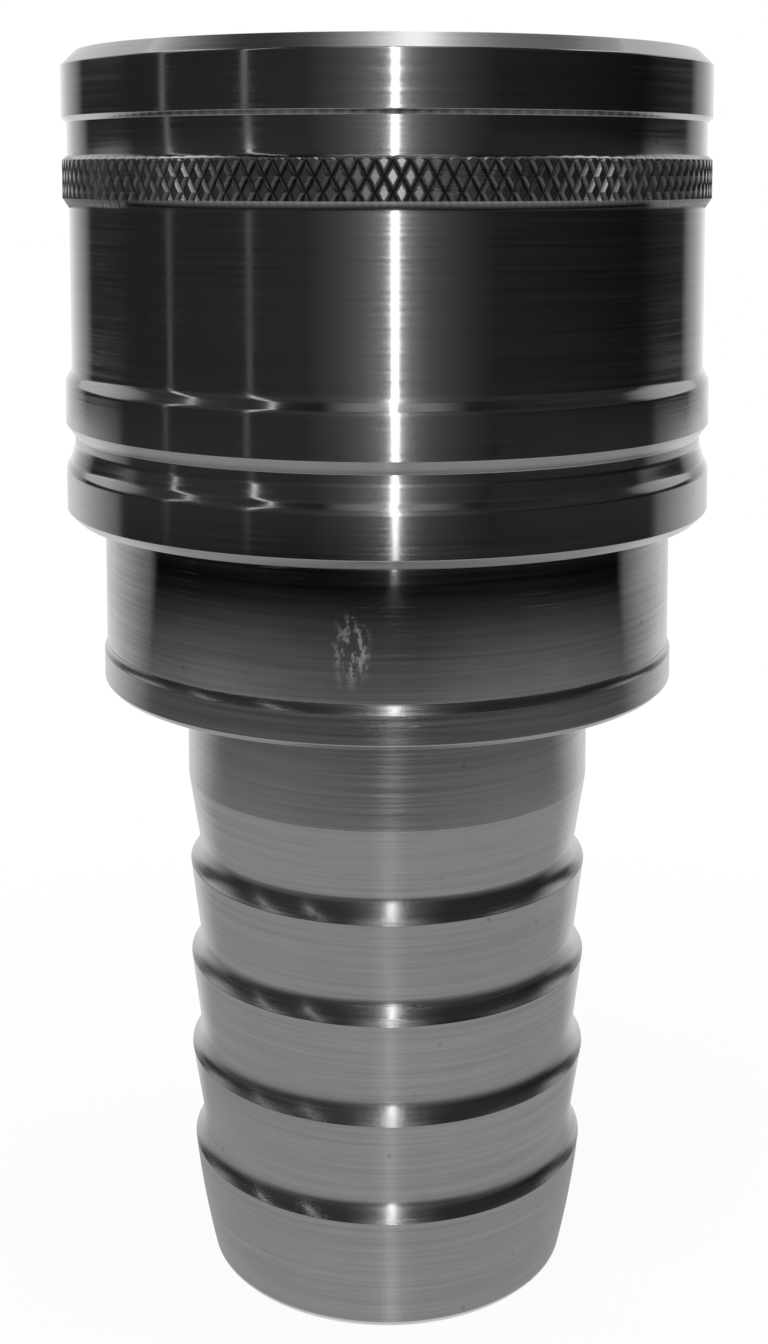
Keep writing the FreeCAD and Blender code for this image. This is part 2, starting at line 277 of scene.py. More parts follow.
def handling_marks_group() -> bpy.types.NodeTree:
    """Smudges, specks and short scratches that handling leaves on bright metal.

    Returns:
        A group with the marks' density going in, and masks of smudges, specks and scratches coming out.
    """
    group, canvas, given = started_group("handling_marks", {"Density": 0.5}, ("Smudge", "Speck", "Scratch"))
    density = given["Density"]
    cloud = canvas.noise(canvas.stretched(1.0, 1.6), scale=55.0, detail=4.0, roughness=0.6)
    smudge = canvas.remap(cloud, 0.42, 0.72)
    cells = canvas.add("ShaderNodeTexVoronoi", {"Vector": canvas.stretched(1.0, 1.0), "Scale": 420.0})
    near = canvas.remap(cells.outputs["Distance"], 0.06, 0.13, 1.0, 0.0)
    pick = canvas.add("ShaderNodeSeparateColor", {0: cells.outputs["Color"]}).outputs[0]
    chosen = canvas.math("LESS_THAN", pick, canvas.math("MULTIPLY", density, 0.22))
    hair = canvas.noise(canvas.stretched(140.0, 7000.0), scale=1.0, detail=1.0)
    patch = canvas.noise(canvas.stretched(1.0, 1.0), scale=130.0)
    scratch = canvas.math("MULTIPLY", canvas.remap(hair, 0.66, 0.72), canvas.remap(patch, 0.56, 0.7))
    canvas.add("NodeGroupOutput", {
        "Smudge": canvas.math("MULTIPLY", smudge, density),
        "Speck": canvas.math("MULTIPLY", near, chosen),
        "Scratch": canvas.math("MULTIPLY", scratch, density),
    })
    return group


def shared_group(name: str) -> bpy.types.NodeTree:
    """The shared shader group of this name, built the first time it is asked for."""
    makers = {"turning_lines": turning_lines_group, "handling_marks": handling_marks_group}
    return bpy.data.node_groups.get(name) or makers[name]()


def blank_material(name: str) -> tuple[bpy.types.Material, Canvas]:
    """Starts a material with nothing in it.

    Args:
        name: the material's name.

    Returns:
        The material and a canvas on its tree.
    """
    material = bpy.data.materials.new(name)
    material.use_nodes = True
    material.node_tree.nodes.clear()
    return material, Canvas(material.node_tree)


@dataclass(frozen=True)
class Scuff:
    """A patch of rubbed metal: where its middle lies, in metres, how large it is and how strong."""

    middle: tuple[float, float, float]
    size: tuple[float, float, float]
    strength: float


@dataclass(frozen=True)
class TurnedSteel:
    """Stainless steel as it comes off a lathe, polished or left satin.

    The stretch is how far its highlights are drawn out across the turning lines, the streaks are how much
    those lines change its tone, and the clouding is how much handling dulls it.
    """

    name: str
    tone: float
    roughness: float
    stretch: float
    streaks: float
    line_pitch: float
    line_depth: float
    banding: float
    marks: float
    clouding: float = 0.06
    clouded_roughness: float = 0.08
    # Lightens worn edges; where the edge value is negative, as in the knurl's grooves, it paints shade
    # instead.
    wear_and_groove_shade_gain: float = 0.12
    scuff: Scuff | None = None

    def scuff_mask(self, canvas: Canvas) -> Any:
        """Mask of the rubbed patch.

        Args:
            canvas: the material's canvas.

        Returns:
            The mask's socket, or nothing where there is no patch.
        """
        if self.scuff is None:
            return 0.0
        away = canvas.vector("SUBTRACT", canvas.place(), self.scuff.middle).outputs[0]
        share = canvas.vector("DIVIDE", away, self.scuff.size).outputs[0]
        reach = canvas.vector("LENGTH", share).outputs["Value"]
        patch = canvas.remap(reach, 0.35, 1.0, 1.0, 0.0)
        strokes = canvas.noise(canvas.stretched(1500.0, 900.0), scale=1.0, detail=3.0, roughness=0.7)
        rubbed = canvas.math("MULTIPLY", canvas.remap(strokes, 0.46, 0.60), patch)
        return canvas.math("MULTIPLY", rubbed, self.scuff.strength)

    def material(self) -> bpy.types.Material:
        """Builds the finish.

        Returns:
            The material.
        """
        material, canvas = blank_material(self.name)
        lines = canvas.add("ShaderNodeGroup", node_tree=shared_group("turning_lines"))
        canvas.put(lines, "Pitch", self.line_pitch)
        marks = canvas.add("ShaderNodeGroup", node_tree=shared_group("handling_marks"))
        canvas.put(marks, "Density", self.marks)
        edge = canvas.add("ShaderNodeAttribute", attribute_name="edge").outputs["Fac"]
        scuff = self.scuff_mask(canvas)

        smudge, speck, scratch = (marks.outputs[name] for name in ("Smudge", "Speck", "Scratch"))
        tint = canvas.plus(self.tone - self.streaks, (lines.outputs["Band"], 2 * self.streaks))
        # Worn edges lighten, and the knurl's grooves darken as painted shade.
        tint = canvas.plus(tint, (smudge, -self.clouding), (edge, self.wear_and_groove_shade_gain), (speck, SPECK_TONE),
                           (scratch, SCRATCH_TONE), (scuff, SCUFF_TONE))
        rough = canvas.plus(self.roughness - 0.5 * self.banding, (lines.outputs["Band"], self.banding),
                            (smudge, self.clouded_roughness), (scratch, SCRATCH_ROUGHNESS),
                            (scuff, SCUFF_ROUGHNESS))
        rough = canvas.math("MAXIMUM", rough, LEAST_ROUGHNESS)
        height = canvas.plus(lines.outputs["Height"], (speck, SPECK_HEIGHT))
        inputs = {"Base Color": canvas.grey(tint), "Metallic": 1.0, "Roughness": rough,
                  "Anisotropic": self.stretch, "Anisotropic Rotation": QUARTER_TURN}
        canvas.surface(inputs, height, strength=1.0, depth=self.line_depth)
        return material


@dataclass(frozen=True)
class GroundSteel:
    """Hard steel, ground or drawn, with no lathe lines."""

    name: str
    tone: float
    roughness: float
    grain_scale: float

    def material(self) -> bpy.types.Material:
        """Builds the finish.

        Returns:
            The material.
        """
        material, canvas = blank_material(self.name)
        marks = canvas.add("ShaderNodeGroup", node_tree=shared_group("handling_marks"))
        canvas.put(marks, "Density", 0.5)
        grain = canvas.noise(canvas.stretched(1.0, 1.0), self.grain_scale, detail=4.0, roughness=0.6)
        tint = canvas.plus(self.tone - 0.5 * GRAIN_TONE, (grain, GRAIN_TONE),
                           (marks.outputs["Speck"], GROUND_SPECK_TONE))
        rough = canvas.plus(self.roughness, (marks.outputs["Smudge"], GROUND_SMUDGE_ROUGHNESS))
        inputs = {"Base Color": canvas.grey(tint), "Metallic": 1.0, "Roughness": rough}
        canvas.surface(inputs, grain, strength=0.4, depth=0.002)
        return material


@dataclass(frozen=True)
class MouldedPolymer:
    """Rubber or plastic, with a faint skin texture."""

    name: str
    colour: tuple[float, float, float]
    roughness: float
    skin_depth: float

    def material(self) -> bpy.types.Material:
        """Builds the finish.

        Returns:
            The material.
        """
        material, canvas = blank_material(self.name)
        skin = canvas.noise(canvas.stretched(1.0, 1.0), scale=2500.0, detail=3.0, roughness=0.6)
        cloud = canvas.noise(canvas.stretched(1.0, 1.0), scale=180.0, detail=3.0)
        shade = canvas.remap(cloud, 0.3, 0.7, 0.85, 1.15)
        scaled = canvas.add("ShaderNodeVectorMath", {0: self.colour, 3: shade}, operation="SCALE")
        rough = canvas.plus(self.roughness - 0.5 * CLOUD_ROUGHNESS, (cloud, CLOUD_ROUGHNESS))
        inputs = {"Base Color": scaled.outputs[0], "Roughness": rough}
        canvas.surface(inputs, skin, strength=0.5, depth=self.skin_depth)
        return material


BODY_SCUFF = Scuff(middle=(-0.0032, -0.0281, 0.0690), size=(0.0022, 0.0030, 0.0040), strength=0.9)
SLEEVE_FINISH = TurnedSteel("sleeve_polished", tone=0.50, roughness=0.115, stretch=0.75, streaks=0.03,
                            line_pitch=0.09, line_depth=0.0010, banding=0.08, marks=0.5)
# The knurl's large gain paints shade into its grooves, darker the deeper they are.
KNURL_FINISH = TurnedSteel("knurl_rolled", tone=0.44, roughness=0.28, stretch=0.30, streaks=0.02,
                           line_pitch=0.12, line_depth=0.0001, banding=0.02, marks=0.0, wear_and_groove_shade_gain=0.36)
BODY_FINISH = TurnedSteel("body_polished", tone=0.48, roughness=0.08, stretch=0.70, streaks=0.07,
                          line_pitch=0.10, line_depth=0.0012, banding=0.04, marks=0.8,
                          clouding=0.16, clouded_roughness=0.04, scuff=BODY_SCUFF)
TAIL_FINISH = TurnedSteel("tail_satin", tone=0.52, roughness=0.21, stretch=0.60, streaks=0.06,
                          line_pitch=0.10, line_depth=0.0026, banding=0.08, marks=0.6)
VALVE_FINISH = TurnedSteel("valve_turned", tone=0.50, roughness=0.22, stretch=0.60, streaks=0.05,
                           line_pitch=0.15, line_depth=0.0020, banding=0.06, marks=0.4)
BALL_FINISH = GroundSteel("ball_ground", tone=0.62, roughness=0.10, grain_scale=900.0)
WIRE_FINISH = GroundSteel("spring_wire", tone=0.42, roughness=0.30, grain_scale=1600.0)
SEAL_FINISH = MouldedPolymer("seal_rubber", colour=(0.022, 0.022, 0.024), roughness=0.42, skin_depth=0.004)
BACKUP_FINISH = MouldedPolymer("backup_plastic", colour=(0.78, 0.77, 0.72), roughness=0.45, skin_depth=0.006)

FINISH_OF_SLOT = {
    Slot.SLEEVE: SLEEVE_FINISH, Slot.BODY: BODY_FINISH, Slot.TAIL: TAIL_FINISH, Slot.VALVE: VALVE_FINISH,
    Slot.BALL: BALL_FINISH, Slot.SPRING: WIRE_FINISH, Slot.SEAL: SEAL_FINISH, Slot.BACKUP: BACKUP_FINISH,
}


def finish(slot: Slot) -> bpy.types.Material:
    """The material of a slot, built the first time it is asked for."""
    maker = FINISH_OF_SLOT[slot]
    return bpy.data.materials.get(maker.name) or maker.material()


def mesh_of(name: str, points: list, faces: list) -> bpy.types.Mesh:
    """Makes a mesh from plain lists.

    Args:
        name: the mesh's name.
        points: its points, in metres.
        faces: each face's point numbers.

    Returns:
        The mesh.
    """
    mesh = bpy.data.meshes.new(name)
    mesh.from_pydata(points, [], faces)
    return mesh


def linked(name: str, data: bpy.types.ID) -> bpy.types.Object:
    """Makes an object and links it to the scene.

    Args:
        name: the object's name.
        data: its mesh, lamp or camera.

    Returns:
        The object.
    """
    made = bpy.data.objects.new(name, data)
    bpy.context.scene.collection.objects.link(made)
    return made


def evaluated_mesh(holder: bpy.types.Object, name: str) -> bpy.types.Mesh:
    """Works out an object's modifiers, keeps the result as a plain mesh and removes the object.

    Args:
        holder: the object.
        name: the new mesh's name.

    Returns:
        The mesh.
    """
    bpy.context.view_layer.update()
    graph = bpy.context.evaluated_depsgraph_get()
    mesh = bpy.data.meshes.new_from_object(holder.evaluated_get(graph))
    mesh.name = name
    holder.modifiers.clear()
    bpy.data.objects.remove(holder)
    return mesh


@dataclass(frozen=True)
class Corner:
    """One corner of an outline, in millimetres, with the radius that breaks its edge."""

    r: float
    z: float
    rounding: float = 0.0

    @property
    def spot(self) -> Vector:
        """Where it lies."""
        return Vector((self.r, self.z))


@dataclass(frozen=True)
class Station:
    """One ring of a turned mesh: its radius and height in millimetres, and how worn its edge is."""

    r: float
    z: float
    edge: float = 0.0


def broken_edges(corners: Sequence[Corner], closed: bool, steps: int = 4) -> list[Station]:
    """Rounds the corners of an outline.

    Args:
        corners: the outline.
        closed: whether the last corner joins the first.
        steps: how many facets a rounded corner gets.

    Returns:
        The stations of the rounded outline.
    """
    stations = []
    count = len(corners)
    for index, corner in enumerate(corners):
        inner = closed or 0 < index < count - 1
        if not inner or corner.rounding <= 0:
            stations.append(Station(corner.r, corner.z))
            continue
        here = corner.spot
        back, ahead = corners[index - 1].spot - here, corners[(index + 1) % count].spot - here
        half_angle = back.angle(ahead) / 2
        longest = LONGEST_REACH * min(back.length, ahead.length)
        reach = min(corner.rounding / math.tan(half_angle), longest)
        start = here + back.normalized() * reach
        end = here + ahead.normalized() * reach
        radius = reach * math.tan(half_angle)
        inwards = (back.normalized() + ahead.normalized()).normalized()
        middle = here + inwards * radius / math.sin(half_angle)
        arm = start - middle
        turn = arm.angle_signed(end - middle)
        for step in range(steps + 1):
            share = step / steps
            angle = -turn * share
            spot = middle + Vector((arm.x * math.cos(angle) - arm.y * math.sin(angle),
                                    arm.x * math.sin(angle) + arm.y * math.cos(angle)))
            stations.append(Station(spot.x, spot.y, math.sin(math.pi * share)))
    return stations


def hollow(root: Point, crest: Point, steps: int = 8) -> list[Corner]:
    """A hollow that leaves its root along the axis and rises to its crest, as a round-nosed tool cuts it.

    Args:
        root: radius and height where it starts.
        crest: radius and height where it ends.
        steps: how many facets it has.

    Returns:
        Its corners from root to crest, with both ends left out.
    """
    rise, run = crest[0] - root[0], crest[1] - root[1]
    radius = (run * run + rise * rise) / (2 * rise)
    whole = math.asin(abs(run) / radius)
    corners = []
    for step in range(1, steps):
        angle = whole * step / steps
        height = root[1] + math.copysign(radius * math.sin(angle), run)
        corners.append(Corner(root[0] + radius * (1 - math.cos(angle)), height))
    return corners


def downwards(corners: list[Corner], z: float, steps: Iterable[tuple[float, float, float]]) -> float:
    """Goes on with an outline towards the hose.

    Args:
        corners: the outline, which gets a corner for each step.
        z: height that it has reached.
        steps: each corner's drop, radius and rounding.

    Returns:
        The height of the last corner.
    """
    for drop, radius, rounding in steps:
        z -= drop
        corners.append(Corner(radius, z, rounding))
    return z


def grid_faces(rows: int, columns: int, first: int = 0, closed: bool = False) -> list[list[int]]:
    """Faces of a grid whose points run row by row.

    Args:
        rows: how many rows of points it has.
        columns: how many points each row has.
        first: the number of its first point.
        closed: whether each row's last point joins its first.

    Returns:
        The faces.
    """
    faces = []
    for row in range(rows - 1):
        low, high = first + row * columns, first + (row + 1) * columns
        for column in range(columns if closed else columns - 1):
            after = (column + 1) % columns
            faces.append([low + column, low + after, high + after, high + column])
    return faces


class TurnedMesh:
    """A mesh made of rings round the axis."""

    def __init__(self) -> None:
        """Starts with nothing."""
        self.points: list[tuple[float, float, float]] = []
        self.edges: list[float] = []
        self.faces: list[list[int]] = []

    def ring(self, station: Station, count: int) -> list[int]:
        """Adds one ring of points.

        Args:
            station: the ring's radius, height and wear.
            count: how many points it has.

        Returns:
            The points' numbers, from +X round towards +Y.
        """
        first = len(self.points)
        for index in range(count):
            angle = 2 * math.pi * index / count
            self.points.append((station.r * MM * math.cos(angle), station.r * MM * math.sin(angle),
                                station.z * MM))
            self.edges.append(station.edge)
        return list(range(first, first + count))

    def pole(self, height: float) -> int:
        """Adds one point on the axis.

        Args:
            height: its height in millimetres.

        Returns:
            The point's number.
        """
        self.points.append((0.0, 0.0, height * MM))
        self.edges.append(0.0)
        return len(self.points) - 1

    def bridge(self, ring: Sequence[int], other: Sequence[int], flip: bool = False) -> None:
        """Joins two rings, the second of which may have several points for each one of the first.

        Args:
            ring: the ring with fewer points, or as many.
            other: the ring next to it along the outline.
            flip: whether the other ring comes before it along the outline.
        """
        count = len(ring)
        share = len(other) // count
        for index in range(count):
            after = (index + 1) % count
            beyond = [other[(index * share + step) % len(other)] for step in range(share + 1)]
            face = [ring[index], ring[after]] + beyond[::-1]
            self.faces.append(face[::-1] if flip else face)

    def turn(self, stations: Sequence[Station], count: int, closed: bool) -> None:
        """Turns a whole outline about the axis.

        Args:
            stations: the outline, with the solid on its left as it is walked.
            count: how many points each ring has.
            closed: whether the last station joins the first; if not, both ends close on the axis.
        """
        rings = [self.ring(station, count) for station in stations]
        for ring, after in zip(rings, rings[1:]):
            self.bridge(ring, after)
        if closed:
            self.bridge(rings[-1], rings[0])
            return
        low, high = self.pole(stations[0].z), self.pole(stations[-1].z)
        for index in range(count):
            after = (index + 1) % count
            self.faces.append([rings[0][after], rings[0][index], low])
            self.faces.append([rings[-1][index], rings[-1][after], high])

    def take(self, mesh: bpy.types.Mesh, crest_r: float, depth: float) -> list[int]:
        """Adds a knurled band as it is, with the depth of its hollows as a negative edge value, which its
        finish turns into painted shade in the grooves.

        Args:
            mesh: the mesh, in metres.
            crest_r: radius of its crests, in millimetres.
            depth: depth of its hollows, in millimetres.

        Returns:
            The numbers that its points have here.
        """
        first = len(self.points)
        self.points += [tuple(vertex.co) for vertex in mesh.vertices]
        # Negative values hold the groove depth, which the knurl's finish paints as shade.
        for vertex in mesh.vertices:
            self.edges.append(-min(1.0, max(0.0, (crest_r - vertex.co.xy.length / MM) / depth)))
        self.faces += [[first + number for number in polygon.vertices] for polygon in mesh.polygons]
        return list(range(first, first + len(mesh.vertices)))

    def mesh(self, name: str) -> bpy.types.Mesh:
        """Makes the Blender mesh, smooth, with the wear of its edges and the knurl's painted groove shade as
        an attribute.

        Args:
            name: the mesh's name.

        Returns:
            The mesh.
        """
        mesh = mesh_of(name, self.points, self.faces)
        mesh.attributes.new("edge", "FLOAT", "POINT").data.foreach_set("value", self.edges)
        mesh.shade_smooth()
        mesh.update()
        return mesh


def turned_piece(name: str, corners: Sequence[Corner], segments: int, closed: bool = True) -> bpy.types.Mesh:
    """Turns an outline about the axis, with its edges broken.

    Args:
        name: the mesh's name.
        corners: the outline, with the solid on its left as it is walked.
        segments: how many points each ring has.
        closed: whether the last corner joins the first.

    Returns:
        The mesh.
    """
    turned = TurnedMesh()
    turned.turn(broken_edges(corners, closed), segments, closed)
    return turned.mesh(name)


def weighted_normals(mesh: bpy.types.Mesh, flat: range = range(0)) -> None:
    """Gives each point the normal of the larger faces round it, so that flats stay flat beside broken edges.

    Args:
        mesh: a smooth mesh.
        flat: the faces that keep their own normals, as cut facets do.
    """
    normals = [Vector() for _ in mesh.vertices]
    for polygon in mesh.polygons:
        if polygon.index not in flat:
            for number in polygon.vertices:
                normals[number] += polygon.normal * polygon.area
    corners = []
    for polygon in mesh.polygons:
        if polygon.index in flat:
            corners += [polygon.normal] * len(polygon.vertices)
        else:
            corners += [normals[number].normalized() for number in polygon.vertices]
    mesh.normals_split_custom_set(corners)


def settle(name: str, mesh: bpy.types.Mesh, slot: Slot, body: Body, *nodes: str) -> bpy.types.Object:
    """Puts a finished mesh on its body in place of its construction nodes.

    Args:
        name: the piece's name.
        mesh: its mesh, in place.
        slot: its finish.
        body: what it rides on.
        nodes: the nodes that it stands for.

    Returns:
        The piece.
    """
    mesh.materials.clear()
    mesh.materials.append(finish(slot))
    piece = linked(name, mesh)
    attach(piece, body.value)
    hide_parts(*nodes)
    log.info("%s: %d faces on %s", name, len(mesh.polygons), body.value)
    return piece


def grown(tree: bpy.types.NodeTree, values: dict[str, Any], name: str) -> bpy.types.Mesh:
    """Runs a geometry tree on an empty object and keeps its result as a plain mesh.

    Args:
        tree: the geometry node tree.
        values: its inputs, by name.
        name: the mesh's name.

    Returns:
        The mesh.
    """
    holder = linked(name + "_holder", bpy.data.meshes.new(name + "_start"))
    modifier = holder.modifiers.new(tree.name, "NODES")
    modifier.node_group = tree
    for item in tree.interface.items_tree:
        if item.item_type == "SOCKET" and item.in_out == "INPUT" and item.name in values:
            modifier[item.identifier] = values[item.name]
    return evaluated_mesh(holder, name)


def geometry_tree(name: str, numbers: dict[str, float], counts: dict[str, int]) -> tuple[Any, Canvas, Any]:
    """Starts a geometry tree with named inputs for its sizes, a material input and a mesh output.

    Args:
        name: the tree's name.
        numbers: the value that each length or share starts at, by name.
        counts: the value that each whole number starts at, by name.

    Returns:
        The tree, a canvas on it and the sockets of its inputs.
    """
    tree = bpy.data.node_groups.new(name, "GeometryNodeTree")
    add_sockets(tree, "INPUT", "Float", numbers)
    add_sockets(tree, "INPUT", "Int", counts)
    add_sockets(tree, "INPUT", "Material", ("Material",))
    add_sockets(tree, "OUTPUT", "Geometry", ("Mesh",))
    canvas = Canvas(tree)
    return tree, canvas, canvas.add("NodeGroupInput").outputs


def end_tree(canvas: Canvas, geometry: Any, given: Any) -> None:
    """Ends a geometry tree with Realize Instances and Set Material.

    Args:
        canvas: the tree's canvas.
        geometry: the socket of what it made.
        given: the sockets of the tree's inputs.
    """
    real = canvas.add("GeometryNodeRealizeInstances", {"Geometry": geometry}).outputs[0]
    dressed = canvas.add("GeometryNodeSetMaterial", {"Geometry": real, "Material": given["Material"]})
    canvas.add("NodeGroupOutput", {"Mesh": dressed.outputs[0]})


def diamond_knurl_tree() -> bpy.types.NodeTree:
    """A knurled band: a sheet wrapped round the axis, cut by two crossing sets of V grooves.

    The grooves run through the sheet's own corners, and each face is split along the groove next to it. The
    outermost rows are pulled in to the band's edges.

    Returns:
        The geometry node tree. Its lengths are in metres.
    """
    numbers = {"Low": 0.0, "High": 1.0, "Crest Radius": 1.0, "Groove Depth": 0.1, "Groove Share": 0.5,
               "Row Height": 1.0, "First Row": 0.0, "Last Row": 1.0, "Centre": 0.5, "Phase": 0.0}
    counts = {"Repeats": 136, "Columns": 544, "Rows": 7}
    tree, canvas, value = geometry_tree("diamond_knurl", numbers, counts)

    def off_centres(column: Any, height: Any) -> list[Socket]:
        """How far a place is from the middle of a crest.

        Args:
            column: how many repeats it lies round the axis.
            height: its height.

        Returns:
            The distances across both sets of grooves, in repeats.
        """
        row = canvas.math("DIVIDE", canvas.math("SUBTRACT", height, value["Centre"]), value["Row Height"])
        across = [canvas.math("FRACT", canvas.math("ADD", canvas.math(way, column, row), WHOLE_REPEATS))
                  for way in ("ADD", "SUBTRACT")]
        return [canvas.math("ABSOLUTE", canvas.math("SUBTRACT", share, 0.5)) for share in across]

    sheet = canvas.add("GeometryNodeMeshGrid", {
        "Size X": 1.0, "Size Y": 1.0, "Vertices X": canvas.math("ADD", value["Columns"], 1.0),
        "Vertices Y": canvas.math("ADD", value["Rows"], 1.0)})
    place = canvas.add("ShaderNodeSeparateXYZ", {0: canvas.add("GeometryNodeInputPosition").outputs[0]})
    share_round = canvas.math("ADD", place.outputs["X"], 0.5)
    share_up = canvas.math("ADD", place.outputs["Y"], 0.5)
    span = canvas.math("SUBTRACT", value["Last Row"], value["First Row"])
    row_z = canvas.math("MULTIPLY_ADD", share_up, span, value["First Row"])
    height = canvas.math("MINIMUM", canvas.math("MAXIMUM", row_z, value["Low"]), value["High"])
    column = canvas.math("MULTIPLY", share_round, value["Repeats"])
    cuts = []
    for away in off_centres(column, height):
        share = canvas.math("DIVIDE", away, canvas.math("MULTIPLY", value["Groove Share"], 0.5))
        cut = canvas.math("SUBTRACT", 1.0, canvas.math("MINIMUM", share, 1.0))
        cuts.append(canvas.math("MULTIPLY", cut, value["Groove Depth"]))
    near = off_centres(column, row_z)
    leaning = canvas.add("FunctionNodeCompare", {0: near[0], 1: near[1]}, data_type="FLOAT",
                         operation="LESS_THAN").outputs[0]
    split = canvas.add("GeometryNodeTriangulate", {"Mesh": sheet.outputs[0], "Selection": leaning},
                       quad_method="FIXED_ALTERNATE")
    split = canvas.add("GeometryNodeTriangulate", {"Mesh": split.outputs[0]}, quad_method="FIXED")
    radius = canvas.math("SUBTRACT", value["Crest Radius"], canvas.math("MAXIMUM", *cuts))
    angle = canvas.math("ADD", canvas.math("MULTIPLY", share_round, 2 * math.pi), value["Phase"])
    spot = canvas.add("ShaderNodeCombineXYZ", {
        0: canvas.math("MULTIPLY", radius, canvas.math("COSINE", angle)),
        1: canvas.math("MULTIPLY", radius, canvas.math("SINE", angle)), 2: height})
    wrapped = canvas.add("GeometryNodeSetPosition", {"Geometry": split.outputs[0],
                                                     "Position": spot.outputs[0]})
    closed = canvas.add("GeometryNodeMergeByDistance", {"Geometry": wrapped.outputs[0],
                                                        "Distance": SEAM_REACH})
    end_tree(canvas, closed.outputs[0], value)
    return tree


def ground_coil_tree() -> bpy.types.NodeTree:
    """A coil spring with its ends ground flat.

    Returns:
        The geometry node tree. Its lengths are in metres.
    """
    numbers = {"Low": 0.0, "High": 1.0, "Mean Radius": 0.5, "Wire Radius": 0.05, "Turns": 4.0}
    tree, canvas, value = geometry_tree("ground_coil", numbers, {"Steps": 90, "Sides": 20})
    length = canvas.math("SUBTRACT", value["High"], value["Low"])
    wire = canvas.math("MULTIPLY", value["Wire Radius"], 2.0)
    pitch = canvas.math("DIVIDE", canvas.math("SUBTRACT", length, wire),
                        canvas.math("SUBTRACT", value["Turns"], 1.0))
    rise = canvas.math("MULTIPLY", pitch, value["Turns"])
    start = canvas.math("MULTIPLY_ADD", canvas.math("SUBTRACT", length, rise), 0.5, value["Low"])
    line = canvas.add("GeometryNodeCurveSpiral", {
        "Resolution": value["Steps"], "Rotations": value["Turns"], "Start Radius": value["Mean Radius"],
        "End Radius": value["Mean Radius"], "Height": rise})
    section = canvas.add("GeometryNodeCurvePrimitiveCircle", {"Resolution": value["Sides"],
                                                              "Radius": value["Wire Radius"]})
    coil = canvas.add("GeometryNodeCurveToMesh", {
        "Curve": line.outputs[0], "Profile Curve": section.outputs[0], "Fill Caps": True})
    place = canvas.add("ShaderNodeSeparateXYZ", {0: canvas.add("GeometryNodeInputPosition").outputs[0]})
    height = canvas.math("ADD", place.outputs["Z"], start)
    ground = canvas.math("MINIMUM", canvas.math("MAXIMUM", height, value["Low"]), value["High"])
    spot = canvas.add("ShaderNodeCombineXYZ", {0: place.outputs["X"], 1: place.outputs["Y"], 2: ground})
    placed = canvas.add("GeometryNodeSetPosition", {"Geometry": coil.outputs[0],
                                                    "Position": spot.outputs[0]})
    end_tree(canvas, placed.outputs[0], value)
    return tree


